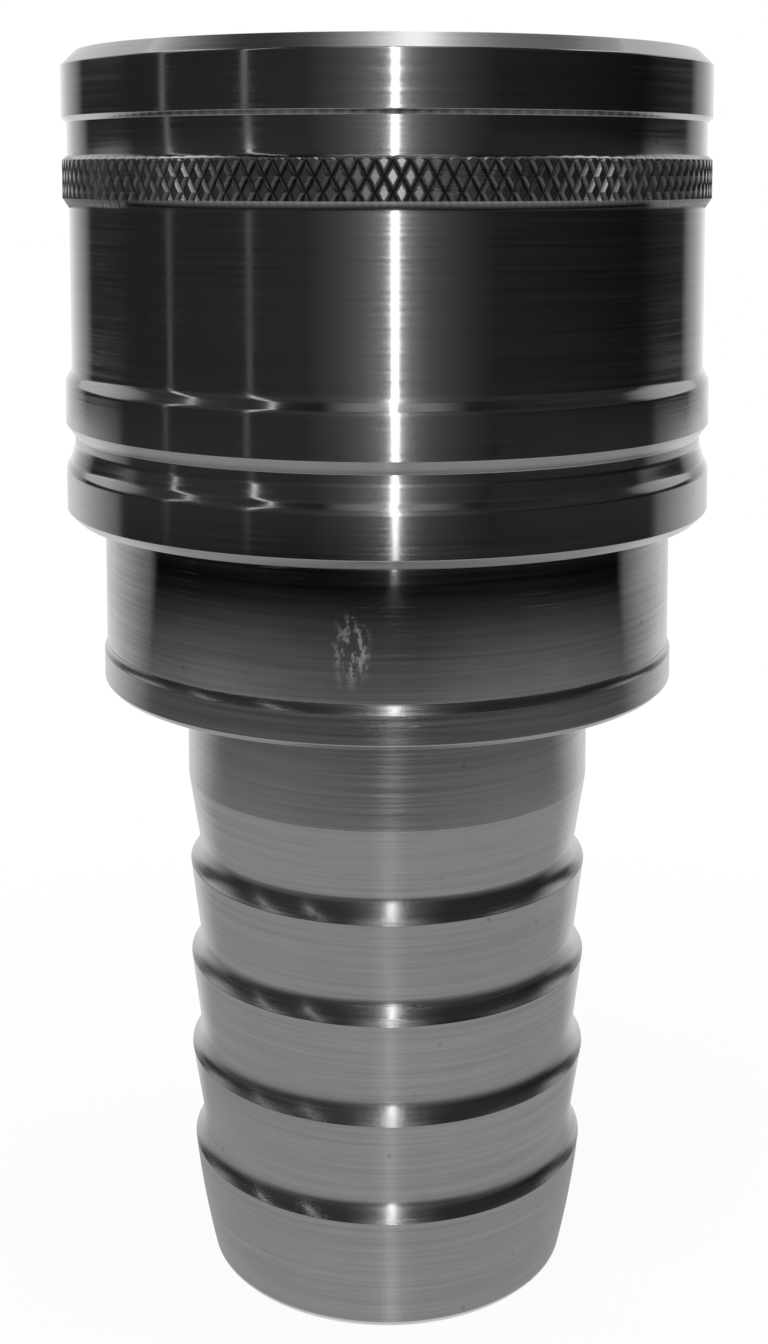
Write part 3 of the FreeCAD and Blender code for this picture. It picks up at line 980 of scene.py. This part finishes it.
@dataclass
class ReleaseSleeve:
    """The sprung outer sleeve, with its knurled band, ridges and grooves."""

    ridge_r: float = 32.0
    front_chamfer: float = 1.4
    front_land_length: float = 5.0
    front_groove_r: float = 31.48
    front_groove_slope: float = 0.45
    front_groove_length: float = 3.15
    knurl_length: float = 3.65
    knurl_slope_length: float = 0.95
    barrel_r: float = 31.37
    barrel_length: float = 15.70
    middle_ridge_slope: float = 1.15
    middle_ridge_length: float = 4.1
    rear_groove_slope: float = 1.2
    rear_groove_r: float = 31.13
    rear_groove_length: float = 0.95
    rear_taper_length: float = 1.40
    rear_taper_r: float = 31.55
    rear_ridge_slope: float = 0.80
    rear_ridge_length: float = 4.1
    rear_chamfer: float = 0.9
    bore_r: float = 28.4
    bore_chamfer: float = 0.5
    land_r: float = 23.5
    land_z: float = 107.9
    cam_start_z: float = 110.033
    cam_end_r: float = 24.6375
    ring_seat_z: float = 116.1
    recess_r: float = 25.5
    recess_chamfer: float = 0.8
    edge_radius: float = 0.12
    ridge_root_radius: float = 1.5
    ridge_edge_radius: float = 1.0
    segments: int = 272
    knurl_repeats: int = 136
    knurl_columns: int = 4
    knurl_depth: float = 0.30
    knurl_groove_share: float = 0.50
    knurl_row_height: float = 2.70
    knurl_row_z: float = 110.28
    knurl_phase: float = 0.84

    def outside(self, front_z: float) -> tuple[list[Corner], list[Corner]]:
        """The outer outline, split where the knurl lies.

        Args:
            front_z: height of the sleeve's front face.

        Returns:
            The corners above the knurled band and those below it, both from the mouth backwards.
        """
        soft, root, worn = self.edge_radius, self.ridge_root_radius, self.ridge_edge_radius
        above = [Corner(self.ridge_r - self.front_chamfer, front_z, 0.25)]
        z = downwards(above, front_z, (
            (self.front_chamfer, self.ridge_r, 0.3), (self.front_land_length, self.ridge_r, soft),
            (self.front_groove_slope, self.front_groove_r, soft),
            (self.front_groove_length, self.front_groove_r, soft)))
        self.knurl_top_z = z - self.front_groove_slope
        self.knurl_bottom_z = self.knurl_top_z - self.knurl_length
        below: list[Corner] = []
        downwards(below, self.knurl_bottom_z, (
            (self.knurl_slope_length, self.barrel_r, soft), (self.barrel_length, self.barrel_r, root),
            (self.middle_ridge_slope, self.ridge_r, worn), (self.middle_ridge_length, self.ridge_r, soft),
            (self.rear_groove_slope, self.rear_groove_r, soft),
            (self.rear_groove_length, self.rear_groove_r, root),
            (self.rear_taper_length, self.rear_taper_r, root), (self.rear_ridge_slope, self.ridge_r, worn),
            (self.rear_ridge_length, self.ridge_r, soft),
            (self.rear_chamfer, self.ridge_r - self.rear_chamfer, soft)))
        return above, below

    def inside(self, rear_z: float, front_z: float) -> list[Corner]:
        """The inner outline, from the hose end to the mouth.

        Args:
            rear_z: height of the sleeve's rear face.
            front_z: height of its front face.

        Returns:
            The corners.
        """
        soft = self.edge_radius / 2
        return [Corner(r, z, soft) for r, z in (
            (self.bore_r + self.bore_chamfer, rear_z), (self.bore_r, rear_z + self.bore_chamfer),
            (self.bore_r, self.land_z), (self.land_r, self.land_z), (self.land_r, self.cam_start_z),
            (self.cam_end_r, self.ring_seat_z), (self.recess_r, self.ring_seat_z),
            (self.recess_r, front_z - self.recess_chamfer), (self.recess_r + self.recess_chamfer, front_z))]

    def knurl(self) -> bpy.types.Mesh:
        """The knurled band by itself.

        Returns:
            An open mesh.
        """
        step = self.knurl_row_height / self.knurl_columns
        first = math.floor((self.knurl_bottom_z - self.knurl_row_z) / step)
        last = math.ceil((self.knurl_top_z - self.knurl_row_z) / step)
        values = {
            "Low": self.knurl_bottom_z * MM, "High": self.knurl_top_z * MM,
            "Crest Radius": self.ridge_r * MM, "Groove Depth": self.knurl_depth * MM,
            "Groove Share": self.knurl_groove_share, "Row Height": self.knurl_row_height * MM,
            "First Row": (self.knurl_row_z + first * step) * MM,
            "Last Row": (self.knurl_row_z + last * step) * MM, "Centre": self.knurl_row_z * MM,
            "Phase": math.radians(self.knurl_phase), "Repeats": self.knurl_repeats,
            "Columns": self.knurl_repeats * self.knurl_columns, "Rows": last - first,
            "Material": finish(Slot.SLEEVE)}
        return grown(diamond_knurl_tree(), values, "knurl_band")

    def build(self) -> None:
        """Builds the sleeve and dresses it."""
        low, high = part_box("release_sleeve")
        above, below = self.outside(high.z / MM)
        outline = below + self.inside(low.z / MM, high.z / MM) + above
        turned = TurnedMesh()
        stations = broken_edges(outline, closed=False)
        rings = [turned.ring(station, self.segments) for station in reversed(stations)]
        for ring, after in zip(rings, rings[1:]):
            turned.bridge(ring, after)
        smooth_faces = len(turned.faces)
        band = self.knurl()
        numbers = turned.take(band, self.ridge_r, self.knurl_depth)
        knurl_faces = len(turned.faces)
        turned.bridge(rings[0], self.rim(turned, numbers, self.knurl_top_z), flip=True)
        turned.bridge(rings[-1], self.rim(turned, numbers, self.knurl_bottom_z))
        mesh = turned.mesh("release_sleeve_turned")
        bpy.data.meshes.remove(band)
        weighted_normals(mesh, range(smooth_faces, knurl_faces))
        settle("release_sleeve_turned", mesh, Slot.SLEEVE, Body.SLEEVE, "release_sleeve")
        mesh.materials.append(KNURL_FINISH.material())
        for number in range(smooth_faces, knurl_faces):
            mesh.polygons[number].material_index = 1

    @staticmethod
    def rim(turned: TurnedMesh, numbers: Sequence[int], height: float) -> list[int]:
        """Finds the points of the band's rim and sorts them round the axis.

        Args:
            turned: the mesh that holds them.
            numbers: the band's points.
            height: height of the rim in millimetres.

        Returns:
            The points from +X round towards +Y.
        """
        def angle(number: int) -> float:
            """Angle of a point round the axis, from zero to a full turn."""
            x, y, _ = turned.points[number]
            return (math.atan2(y, x) + 1e-6) % (2 * math.pi)

        edge = [number for number in numbers if abs(turned.points[number][2] / MM - height) < RIM_REACH]
        log.info("knurl: rim of %d points", len(edge))
        return sorted(edge, key=angle)


@dataclass
class HoseTail:
    """The barbed tail with its neck, flange and screwed spigot."""

    bore_r: float = 15.5
    tip_r: float = 18.0
    tip_chamfer: float = 0.4
    tip_cone_length: float = 11.6
    tip_cone_bulge: float = 0.18
    tip_barb_inset: float = 0.25
    crest_r: float = 20.2
    root_r: float = 19.25
    step_length: float = 2.4
    pitch: float = 9.8
    barbs: int = 4
    neck_r: float = 20.3
    neck_z: float = 50.0
    flange_r: float = 28.57
    flange_chamfer: float = 0.5
    flange_z: float = 60.2
    seam_z: float = 64.3
    seam_r: float = 28.3
    seam_blend: float = 0.85
    thread_r: float = 24.9
    relief_z: float = 70.276
    spigot_r: float = 23.95
    mouth_r: float = 20.5
    flow_cone_length: float = 10.0
    segments: int = 288

    def tip_cone(self, steps: int = 10) -> list[Corner]:
        """The slightly bulging cone that enters the hose.

        Args:
            steps: how many facets it has.

        Returns:
            Its corners from the tip to the first barb, with both ends left out.
        """
        corners = []
        for step in range(1, steps):
            share = step / steps
            chord = self.tip_r + (self.crest_r - self.tip_barb_inset - self.tip_r) * share
            height = self.tip_chamfer + (self.tip_cone_length - self.tip_chamfer) * share
            corners.append(Corner(chord + 4 * self.tip_cone_bulge * share * (1 - share), height))
        return corners

    def outline(self, top_z: float) -> list[Corner]:
        """The tail's outline.

        Args:
            top_z: height of the spigot's end.

        Returns:
            The corners, with the solid on the left.
        """
        corners = [Corner(*spot) for spot in (
            (self.bore_r, 0.0, 0.15), (self.tip_r - self.tip_chamfer, 0.0, 0.08),
            (self.tip_r, self.tip_chamfer, 0.1))]
        corners += self.tip_cone()
        for index in range(self.barbs):
            inset = self.tip_barb_inset if index == 0 else 0.0
            crest_z = self.tip_cone_length + index * self.pitch
            crest_r, root_r, root_z = self.crest_r - inset, self.root_r - inset, crest_z + self.step_length
            corners.append(Corner(crest_r, crest_z, 0.10))
            corners += hollow((root_r, root_z), (crest_r, crest_z), 14)[::-1]
            corners.append(Corner(root_r, root_z))
        lip_z = self.seam_z - self.seam_blend
        corners += [Corner(*spot) for spot in (
            (self.neck_r, self.neck_z, 0.5), (self.neck_r, self.flange_z, 0.15),
            (self.flange_r - self.flange_chamfer, self.flange_z, 0.12),
            (self.flange_r, self.flange_z + self.flange_chamfer, 0.15), (self.flange_r, lip_z, 0.12))]
        corners += hollow((self.seam_r, self.seam_z), (self.flange_r, lip_z), 6)[::-1]
        corners += [Corner(*spot) for spot in (
            (self.seam_r, self.seam_z, 0.03), (self.thread_r, self.seam_z, 0.05),
            (self.thread_r, self.relief_z, 0.1), (self.spigot_r, self.relief_z, 0.1),
            (self.spigot_r, top_z, 0.2), (self.mouth_r, top_z, 0.2),
            (self.bore_r, top_z - self.flow_cone_length, 0.3))]
        return corners

    def build(self) -> None:
        """Builds the tail and dresses it."""
        top_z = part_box("hose_tail")[1].z / MM
        mesh = turned_piece("hose_tail_turned", self.outline(top_z), self.segments)
        weighted_normals(mesh)
        settle("hose_tail_turned", mesh, Slot.TAIL, Body.COUPLING, "hose_tail")


@dataclass
class SocketBody:
    """The body that shows below the sleeve and carries the balls, the seals and the valve."""

    outer_r: float = 28.3
    seam_z: float = 64.3
    seam_break: float = 0.10
    shoulder_z: float = 87.9
    nose_r: float = 23.4
    ring_groove_r: float = 22.6
    ring_groove_z: float = 116.1
    ring_groove_length: float = 1.6
    nose_chamfer: float = 0.6
    mouth_bore_r: float = 19.5
    mouth_bore_length: float = 6.2
    bore_r: float = 19.1
    lead_in: float = 1.0
    gland_r: float = 21.3
    gland_z: float = 100.7
    gland_length: float = 4.4
    floor_z: float = 96.9
    throat_r: float = 15.2
    seat_z: float = 91.9
    chamber_r: float = 22.5
    guide_z: float = 79.276
    pilot_r: float = 24.0
    thread_z: float = 70.776
    thread_r: float = 25.0
    pocket_r: float = 3.05
    pocket_small_r: float = 1.964
    pocket_small_at: float = 17.7
    pocket_full_at: float = 20.04
    pocket_z: float = 111.9
    pockets: int = 12
    pocket_sides: int = 40
    segments: int = 288
    edge_radius: float = 0.08

    def outline(self, face_z: float) -> list[Corner]:
        """The body's outline.

        Args:
            face_z: height of its face at the mouth.

        Returns:
            The corners, with the solid on the left.
        """
        soft = self.edge_radius
        groove_high_z = self.ring_groove_z + self.ring_groove_length
        gland_high_z = self.gland_z + self.gland_length
        chamber_z = self.seat_z - (self.chamber_r - self.throat_r)
        mouth_bore_z = face_z - self.mouth_bore_length
        step_z = mouth_bore_z - (self.mouth_bore_r - self.bore_r)
        return [Corner(*spot) for spot in (
            (self.thread_r, self.seam_z, 0.03), (self.outer_r, self.seam_z, self.seam_break),
            (self.outer_r, self.shoulder_z, 0.2), (self.nose_r, self.shoulder_z, soft),
            (self.nose_r, self.ring_groove_z, soft), (self.ring_groove_r, self.ring_groove_z, soft),
            (self.ring_groove_r, groove_high_z, soft), (self.nose_r, groove_high_z, soft),
            (self.nose_r, face_z - self.nose_chamfer, soft), (self.nose_r - self.nose_chamfer, face_z, soft),
            (self.mouth_bore_r + self.lead_in, face_z, soft),
            (self.mouth_bore_r, face_z - self.lead_in, soft), (self.mouth_bore_r, mouth_bore_z, soft),
            (self.bore_r, step_z, soft), (self.bore_r, gland_high_z, soft),
            (self.gland_r, gland_high_z, soft), (self.gland_r, self.gland_z, soft),
            (self.bore_r, self.gland_z, soft),
            (self.bore_r, self.floor_z, soft), (self.throat_r, self.floor_z, soft),
            (self.throat_r, self.seat_z, soft), (self.chamber_r, chamber_z, 0.3),
            (self.chamber_r, self.guide_z, soft), (self.pilot_r, self.guide_z, soft),
            (self.pilot_r, self.thread_z, soft), (self.thread_r, self.thread_z, soft))]

    def pocket_cutter(self) -> bpy.types.Object:
        """The tapered holes of all the balls, as one mesh.

        Returns:
            An object to cut them with.
        """
        beyond = self.nose_r + 2.0
        sides = self.pocket_sides
        profile = [(self.pocket_small_r, self.pocket_small_at), (self.pocket_r, self.pocket_full_at),
                   (self.pocket_r, beyond)]
        points, faces = [], []
        for pocket in range(self.pockets):
            turn = 2 * math.pi * pocket / self.pockets
            first = len(points)
            for radius, out in profile:
                for side in range(sides):
                    angle = 2 * math.pi * side / sides
                    across, up = radius * math.cos(angle), radius * math.sin(angle)
                    points.append(((out * math.cos(turn) - across * math.sin(turn)) * MM,
                                   (out * math.sin(turn) + across * math.cos(turn)) * MM,
                                   (self.pocket_z + up) * MM))
            faces += grid_faces(len(profile), sides, first, closed=True)
            faces.append(list(range(first, first + sides))[::-1])
            faces.append(list(range(len(points) - sides, len(points))))
        return linked("pocket_cutter", mesh_of("pocket_cutter", points, faces))

    def build(self) -> None:
        """Builds the body, cuts its pockets and dresses it."""
        face_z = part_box("socket_body")[1].z / MM
        whole = linked("body_blank", turned_piece("body_blank", self.outline(face_z), self.segments))
        cutter = self.pocket_cutter()
        cut = whole.modifiers.new("pockets", "BOOLEAN")
        cut.operation = "DIFFERENCE"
        cut.solver = "EXACT"
        cut.object = cutter
        mesh = evaluated_mesh(whole, "socket_body_turned")
        bpy.data.objects.remove(cutter)
        mesh.shade_smooth()
        mesh.set_sharp_from_angle(angle=SHARP_ANGLE)
        settle("socket_body_turned", mesh, Slot.BODY, Body.COUPLING, "socket_body")


@dataclass
class Poppet:
    """The shut-off valve's poppet with its stem."""

    stem_r: float = 4.0
    stem_z: float = 65.576
    cup_r: float = 8.5
    cup_z: float = 94.2
    rear_z: float = 87.576
    head_r: float = 18.0
    head_z: float = 89.576
    head_top_r: float = 17.312
    groove_r: float = 13.7
    groove_top_z: float = 91.816
    nose_r: float = 14.9
    edge_radius: float = 0.08
    rim_radius: float = 0.12
    segments: int = 160

    def build(self) -> None:
        """Builds the poppet and dresses it."""
        top_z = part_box("valve_poppet")[1].z / MM
        soft, rim = self.edge_radius, self.rim_radius
        slope = self.head_r - self.head_top_r
        corners = [Corner(*spot) for spot in (
            (AXIS_R, self.stem_z), (self.stem_r, self.stem_z, 0.3), (self.stem_r, self.cup_z, soft),
            (self.cup_r, self.cup_z, soft), (self.cup_r, self.rear_z, soft), (self.head_r, self.rear_z, rim),
            (self.head_r, self.head_z - slope, rim), (self.head_top_r, self.head_z, rim),
            (self.groove_r, self.head_z, soft), (self.groove_r, self.groove_top_z, soft),
            (self.nose_r, self.groove_top_z, soft), (self.nose_r, top_z, 0.25), (AXIS_R, top_z))]
        mesh = turned_piece("poppet_turned", corners, self.segments, closed=False)
        weighted_normals(mesh)
        settle("poppet_turned", mesh, Slot.VALVE, Body.VALVE, "valve_poppet")


@dataclass
class GroundSpring:
    """A coil spring with ground ends, on the coupling's body."""

    name: str
    node: str
    joint: str
    mean_r: float
    wire_r: float
    travel: float
    turns: float = 4.25

    def build(self) -> None:
        """Builds the spring and dresses it."""
        low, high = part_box(self.node)
        values = {"Low": low.z, "High": high.z, "Mean Radius": self.mean_r * MM,
                  "Wire Radius": self.wire_r * MM, "Turns": self.turns, "Material": finish(Slot.SPRING)}
        mesh = grown(ground_coil_tree(), values, self.name)
        piece = settle(self.name, mesh, Slot.SPRING, Body.COUPLING, self.node)
        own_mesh(piece)


def dress_nodes() -> None:
    """Gives every construction node that still shows the finish of its slot."""
    slot_of_node = {part["node"]: Slot(part["material_slot"]) for part in frame["record"]["subparts"]}
    for name, node in frame["nodes"].items():
        if node.hide_render:
            continue
        node.data.materials.clear()
        node.data.materials.append(finish(slot_of_node[name]))
        log.info("%s: kept, in %s", name, slot_of_node[name].value)


@dataclass(frozen=True)
class Fade:
    """A level that changes along a measure: pairs of the measure and the level, joined by straight lines."""

    stops: tuple[Point, ...]

    def at(self, measure: float) -> float:
        """Reads the level.

        Args:
            measure: where it is read.

        Returns:
            The level there.
        """
        if measure <= self.stops[0][0]:
            return self.stops[0][1]
        for (start, low), (end, high) in zip(self.stops, self.stops[1:]):
            if measure <= end:
                return low + (high - low) * (measure - start) / (end - start)
        return self.stops[-1][1]


def round_axis(reach: float, degrees: float, height: float) -> tuple[float, float, float]:
    """A place at an azimuth from the viewer towards the right, with its distance and height in metres."""
    azimuth = math.radians(degrees)
    return reach * math.sin(azimuth), -reach * math.cos(azimuth), height


@dataclass(frozen=True)
class Wall:
    """An upright card round the object that shows only in its reflections.

    Azimuths are degrees from the viewer towards the right, heights and reaches are metres.
    """

    name: str
    start: float
    end: float
    low: float
    high: float
    reach: float
    level: Fade
    step: int = 3

    def build(self) -> None:
        """Builds the wall as part of an upright cylinder."""
        regular = range(math.ceil(self.start), math.floor(self.end), self.step)
        inner = [stop[0] for stop in self.level.stops if self.start < stop[0] < self.end]
        places = sorted({self.start, self.end, *regular, *inner})
        reflection_card(self.name, (self.low, self.high), places,
                        spot=lambda height, degrees: round_axis(self.reach, degrees, height),
                        level=lambda height, degrees: self.level.at(degrees))


@dataclass(frozen=True)
class Mat:
    """A flat round glowing card on the floor that shows only in reflections, with the floor's light and shade
    painted into its glow.
    """

    name: str
    height: float
    outwards: Fade
    back: Fade
    shade: Fade
    streak: Fade
    shade_from: float = 0.15
    sectors: int = 240

    def level(self, radius: float, degrees: float) -> float:
        """Works out how bright the mat is at one place.

        Args:
            radius: its distance from the axis, in metres.
            degrees: its azimuth from the viewer towards the right.

        Returns:
            The level.
        """
        # Beyond shade_from the shade Fade paints shade into the glow; nearer in, the streak paints the front
        # lamp's reflection on the floor.
        level = self.outwards.at(radius)
        level *= self.shade.at(degrees) if radius > self.shade_from else 1 + self.streak.at(degrees)
        return max(level, self.back.at(abs(degrees)))

    def build(self) -> None:
        """Builds the mat as rings cut into sectors."""
        radii = [stop[0] for stop in self.outwards.stops]
        azimuths = [360 * sector / self.sectors - 180 for sector in range(self.sectors)]
        reflection_card(self.name, radii, azimuths, closed=True, level=self.level,
                        spot=lambda radius, degrees: round_axis(radius, degrees, self.height))


@dataclass(frozen=True)
class Ceiling:
    """A card above the object that shows only in reflections, with a lamp behind and a light strip in front.

    Across runs towards the viewer's right and depth away from the viewer, in metres.
    """

    name: str
    half: float
    height: float
    across: Fade
    depth: Fade
    front: Fade
    front_across: Fade
    steps: int = 70

    def build(self) -> None:
        """Builds the ceiling as a grid."""
        places = [self.half * (2 * step / self.steps - 1) for step in range(self.steps + 1)]
        reflection_card(self.name, places, places, spot=lambda y, x: (x, y, self.height),
                        level=lambda y, x: max(self.across.at(x) * self.depth.at(y),
                                               self.front_across.at(x) * self.front.at(y)))


def reflection_card(name: str, rows: Sequence[float], columns: Sequence[float],
                    spot: Callable[[float, float], Sequence[float]],
                    level: Callable[[float, float], float], closed: bool = False) -> None:
    """Makes a card that only mirrors and glossy metal see.

    Args:
        name: the card's name.
        rows: one measure of its points.
        columns: the other measure.
        spot: gives the place of a point, in metres, by its two measures.
        level: gives how bright the card is there, where 1 is white.
        closed: whether the last column joins the first.
    """
    places = [(row, column) for row in rows for column in columns]
    faces = grid_faces(len(rows), len(columns), closed=closed)
    mesh = mesh_of(name, [spot(*place) for place in places], faces)
    levels = [level(*place) for place in places]
    mesh.attributes.new("level", "FLOAT", "POINT").data.foreach_set("value", levels)
    material, canvas = blank_material(name)
    strength = canvas.add("ShaderNodeAttribute", attribute_name="level").outputs["Fac"]
    glow = canvas.add("ShaderNodeEmission", {"Color": (1, 1, 1, 1), "Strength": strength})
    canvas.add("ShaderNodeOutputMaterial", {"Surface": glow.outputs[0]})
    mesh.materials.append(material)
    card = linked(name, mesh)
    for ray in ("camera", "diffuse", "transmission", "shadow"):
        setattr(card, "visible_" + ray, False)


@dataclass
class Studio:
    """Pale floor, white surroundings, soft lamps, and cards for the metal to mirror."""

    floor_half: float = 4.0
    floor_tone: float = 0.82
    near_share: float = 0.93
    shade_start: float = 0.03
    shade_end: float = 0.12
    fill: float = 0.55
    aim: tuple[float, float, float] = (0.0, 0.0, 0.06)

    @staticmethod
    def seen_directly(canvas: Canvas) -> Socket:
        """Light Path's mask of the rays that see the surroundings: from the camera, metal and glass.

        Args:
            canvas: the tree that needs it.

        Returns:
            The mask's socket.
        """
        path = canvas.add("ShaderNodeLightPath")
        metal = canvas.math("MAXIMUM", path.outputs["Is Camera Ray"], path.outputs["Is Glossy Ray"])
        return canvas.math("MAXIMUM", metal, path.outputs["Is Transmission Ray"])

    def floor(self) -> None:
        """Builds the floor, white where it is seen, with the object's shadow kept near its foot."""
        material, canvas = blank_material("studio_floor")
        matt = canvas.add("ShaderNodeBsdfDiffuse", {"Color": (self.floor_tone,) * 3 + (1,)})
        white = canvas.add("ShaderNodeEmission", {"Color": (1, 1, 1, 1), "Strength": 1.0})
        reach = canvas.vector("LENGTH", canvas.place()).outputs["Value"]
        share = canvas.remap(reach, self.shade_start, self.shade_end, self.near_share)
        share = canvas.math("MULTIPLY", self.seen_directly(canvas), share)
        mixed = canvas.add("ShaderNodeMixShader", {0: share, 1: matt.outputs[0], 2: white.outputs[0]})
        canvas.add("ShaderNodeOutputMaterial", {"Surface": mixed.outputs[0]})
        half = self.floor_half
        corners = [(-half, -half, 0), (half, -half, 0), (half, half, 0), (-half, half, 0)]
        mesh = mesh_of("studio_floor", corners, [[0, 1, 2, 3]])
        mesh.materials.append(material)
        linked("studio_floor", mesh)

    def world(self) -> None:
        """Makes the surroundings white where they are seen, and a plain fill light elsewhere."""
        world = bpy.data.worlds.new("studio_world")
        world.use_nodes = True
        world.node_tree.nodes.clear()
        canvas = Canvas(world.node_tree)
        level = canvas.remap(self.seen_directly(canvas), 0.0, 1.0, self.fill, 1.0)
        back = canvas.add("ShaderNodeBackground", {"Color": (1, 1, 1, 1), "Strength": level})
        canvas.add("ShaderNodeOutputWorld", {"Surface": back.outputs[0]})
        bpy.context.scene.world = world

    def lamps(self) -> None:
        """Hangs two soft lamps that light what is matt."""
        for name, place, size, power in (("key_lamp", (-0.5, -0.6, 0.9), 0.5, 5.0),
                                         ("side_lamp", (0.7, -0.2, 0.7), 0.5, 2.5)):
            light = bpy.data.lights.new(name, "AREA")
            light.energy = power
            light.size = size
            lamp = linked(name, light)
            lamp.location = place
            beam = Vector(self.aim) - Vector(place)
            lamp.rotation_euler = beam.to_track_quat("-Z", "Y").to_euler()
            lamp.visible_glossy = False
            lamp.visible_camera = False

    def cards(self) -> None:
        """Sets the walls, mats and lamps that the polished steel mirrors."""
        room = Fade(((-155.0, 0.9), (-142.0, 0.55), (-133.0, 0.28), (-127.0, 0.03), (-100.0, 0.025),
                     (-60.0, 0.03), (0.0, 0.045), (40.0, 0.022), (95.0, 0.008), (126.0, 0.03),
                     (132.0, 0.28), (142.0, 0.55), (155.0, 0.9)))
        upper_room = Fade(((-150.0, 0.8), (-118.0, 0.60), (-106.0, 0.35), (-97.0, 0.05), (0.0, 0.04),
                           (97.0, 0.03), (106.0, 0.35), (118.0, 0.60), (150.0, 0.8)))
        Wall("room_wall", -180.0, 180.0, low=0.0, high=0.20, reach=0.70, level=room).build()
        Wall("upper_wall", -180.0, 180.0, low=0.20, high=0.75, reach=0.70, level=upper_room).build()
        halo = Fade(((-26.0, 0.04), (-15.0, 0.085), (-8.0, 0.15), (-2.0, 0.28), (1.7, 0.6), (2.0, 8.0),
                     (3.15, 8.0), (3.45, 0.6), (8.0, 0.25), (13.0, 0.13), (20.0, 0.08), (27.0, 0.05),
                     (36.0, 0.025)))
        Wall("front_strip", -26.0, 36.0, low=0.0, high=0.50, reach=0.45, level=halo).build()
        high_halo = Fade(((-26.0, 0.03), (-20.0, 0.15), (-15.0, 0.25), (-3.0, 0.45), (1.7, 0.8), (2.0, 8.0),
                          (3.15, 8.0), (3.45, 0.8), (9.0, 0.40), (21.0, 0.25), (27.0, 0.12), (33.0, 0.03),
                          (36.0, 0.025)))
        Wall("front_strip_high", -26.0, 36.0, low=0.50, high=0.74, reach=0.45, level=high_halo).build()
        for azimuth, middle_level in ((-46.5, 0.26), (-78.5, 0.24)):
            for name, half, low, high, level in (("strip_low", 1.0, 0.0, 0.09, 0.5 * middle_level),
                                                 ("strip_mid", 1.0, 0.09, 0.20, middle_level),
                                                 ("strip_high", 0.8, 0.20, 0.74, 1.5)):
                Wall(name, azimuth - half, azimuth + half, low, high, 0.46, Fade(((0.0, level),))).build()
        outwards = Fade(((0.0, 0.42), (0.11, 0.42), (0.14, 0.34), (0.151, 0.31), (0.17, 0.24), (0.182, 0.22),
                         (0.195, 0.165), (0.21, 0.14), (0.225, 0.125), (0.235, 0.10), (0.25, 0.07),
                         (0.265, 0.055), (0.29, 0.020), (0.32, 0.004), (0.41, 0.0), (0.43, 0.05),
                         (0.70, 0.05)))
        back = Fade(((100.0, 0.0), (105.0, 0.2), (121.0, 0.5), (140.0, 0.8)))
        # Painted shade in front of the viewer, and a painted reflection of the front lamp near the object.
        shade = Fade(((-60.0, 1.0), (-25.0, 0.80), (-12.0, 0.62), (14.0, 0.62), (30.0, 0.82), (60.0, 1.0)))
        streak = Fade(((-10.0, 0.0), (-3.0, 0.10), (0.0, 0.42), (1.5, 0.42), (4.5, 0.10), (11.0, 0.0)))
        Mat("floor_mat", height=0.0006, outwards=outwards, back=back, shade=shade, streak=streak).build()
        across = Fade(((-0.55, 1.2), (-0.51, 0.9), (-0.47, 0.65), (-0.43, 0.40), (-0.39, 0.25), (-0.35, 0.14),
                       (-0.31, 0.07), (-0.23, 0.06), (-0.16, 0.11), (-0.12, 0.20), (-0.083, 0.38),
                       (-0.044, 0.62), (-0.006, 1.15), (0.033, 1.8), (0.071, 1.9), (0.11, 1.05),
                       (0.149, 0.58), (0.187, 0.40), (0.226, 0.28), (0.264, 0.24), (0.34, 0.22),
                       (0.38, 0.25), (0.42, 0.38), (0.50, 0.50), (0.54, 1.1)))
        depth = Fade(((-0.12, 0.0), (-0.05, 1.0)))
        front = Fade(((-0.69, 0.60), (-0.62, 1.0), (-0.28, 1.0), (-0.20, 0.10)))
        front_across = Fade(((-0.24, 0.02), (-0.15, 0.25), (-0.04, 0.36), (0.06, 0.36), (0.17, 0.25),
                             (0.28, 0.02)))
        Ceiling("ceiling", half=0.70, height=0.75, across=across, depth=depth, front=front,
                front_across=front_across).build()

    def build(self) -> None:
        """Builds the studio."""
        self.floor()
        self.world()
        self.lamps()
        self.cards()


@dataclass
class PhotoCamera:
    """The camera where the photographer stood, fitted to the curves of the picture.

    Distances are millimetres, pixels are those of the 768 by 1344 picture, and it sees from nearest to
    farthest, in metres.
    """

    distance: float = 188.9
    height: float = 110.3
    tilt: float = 5.826
    focal_px: float = 1882.2
    centre_px: Point = (387.23, 368.3)
    picture_px: Point = (768.0, 1344.0)
    sensor: float = 36.0
    nearest: float = 0.005
    farthest: float = 20.0

    def build(self) -> None:
        """Builds the camera and makes it the scene's."""
        width, height = self.picture_px
        data = bpy.data.cameras.new("photo_camera")
        data.sensor_width = self.sensor
        data.lens = self.focal_px * self.sensor / height
        data.shift_x = (width / 2 - self.centre_px[0]) / height
        data.shift_y = -(height / 2 - self.centre_px[1]) / height
        data.clip_start = self.nearest
        data.clip_end = self.farthest
        camera = linked("photo_camera", data)
        camera.location = (0.0, -self.distance * MM, self.height * MM)
        camera.rotation_euler = (math.radians(90 - self.tilt), 0.0, 0.0)
        bpy.context.scene.camera = camera


def main() -> None:
    """Builds every sub-assembly, the studio and the camera, in order."""
    logging.basicConfig(level=logging.INFO, format="%(name)s: %(message)s")
    ReleaseSleeve().build()
    SocketBody().build()
    HoseTail().build()
    Poppet().build()
    GroundSpring("valve_coil", "valve_spring", "valve_slide", mean_r=6.7, wire_r=0.75, travel=7.5).build()
    GroundSpring("sleeve_coil", "sleeve_spring", "sleeve_slide", mean_r=25.8, wire_r=1.2, travel=8.0).build()
    dress_nodes()
    Studio().build()
    PhotoCamera().build()
    bpy.context.scene.view_settings.view_transform = "Standard"


if __name__ == "__main__":
    main()
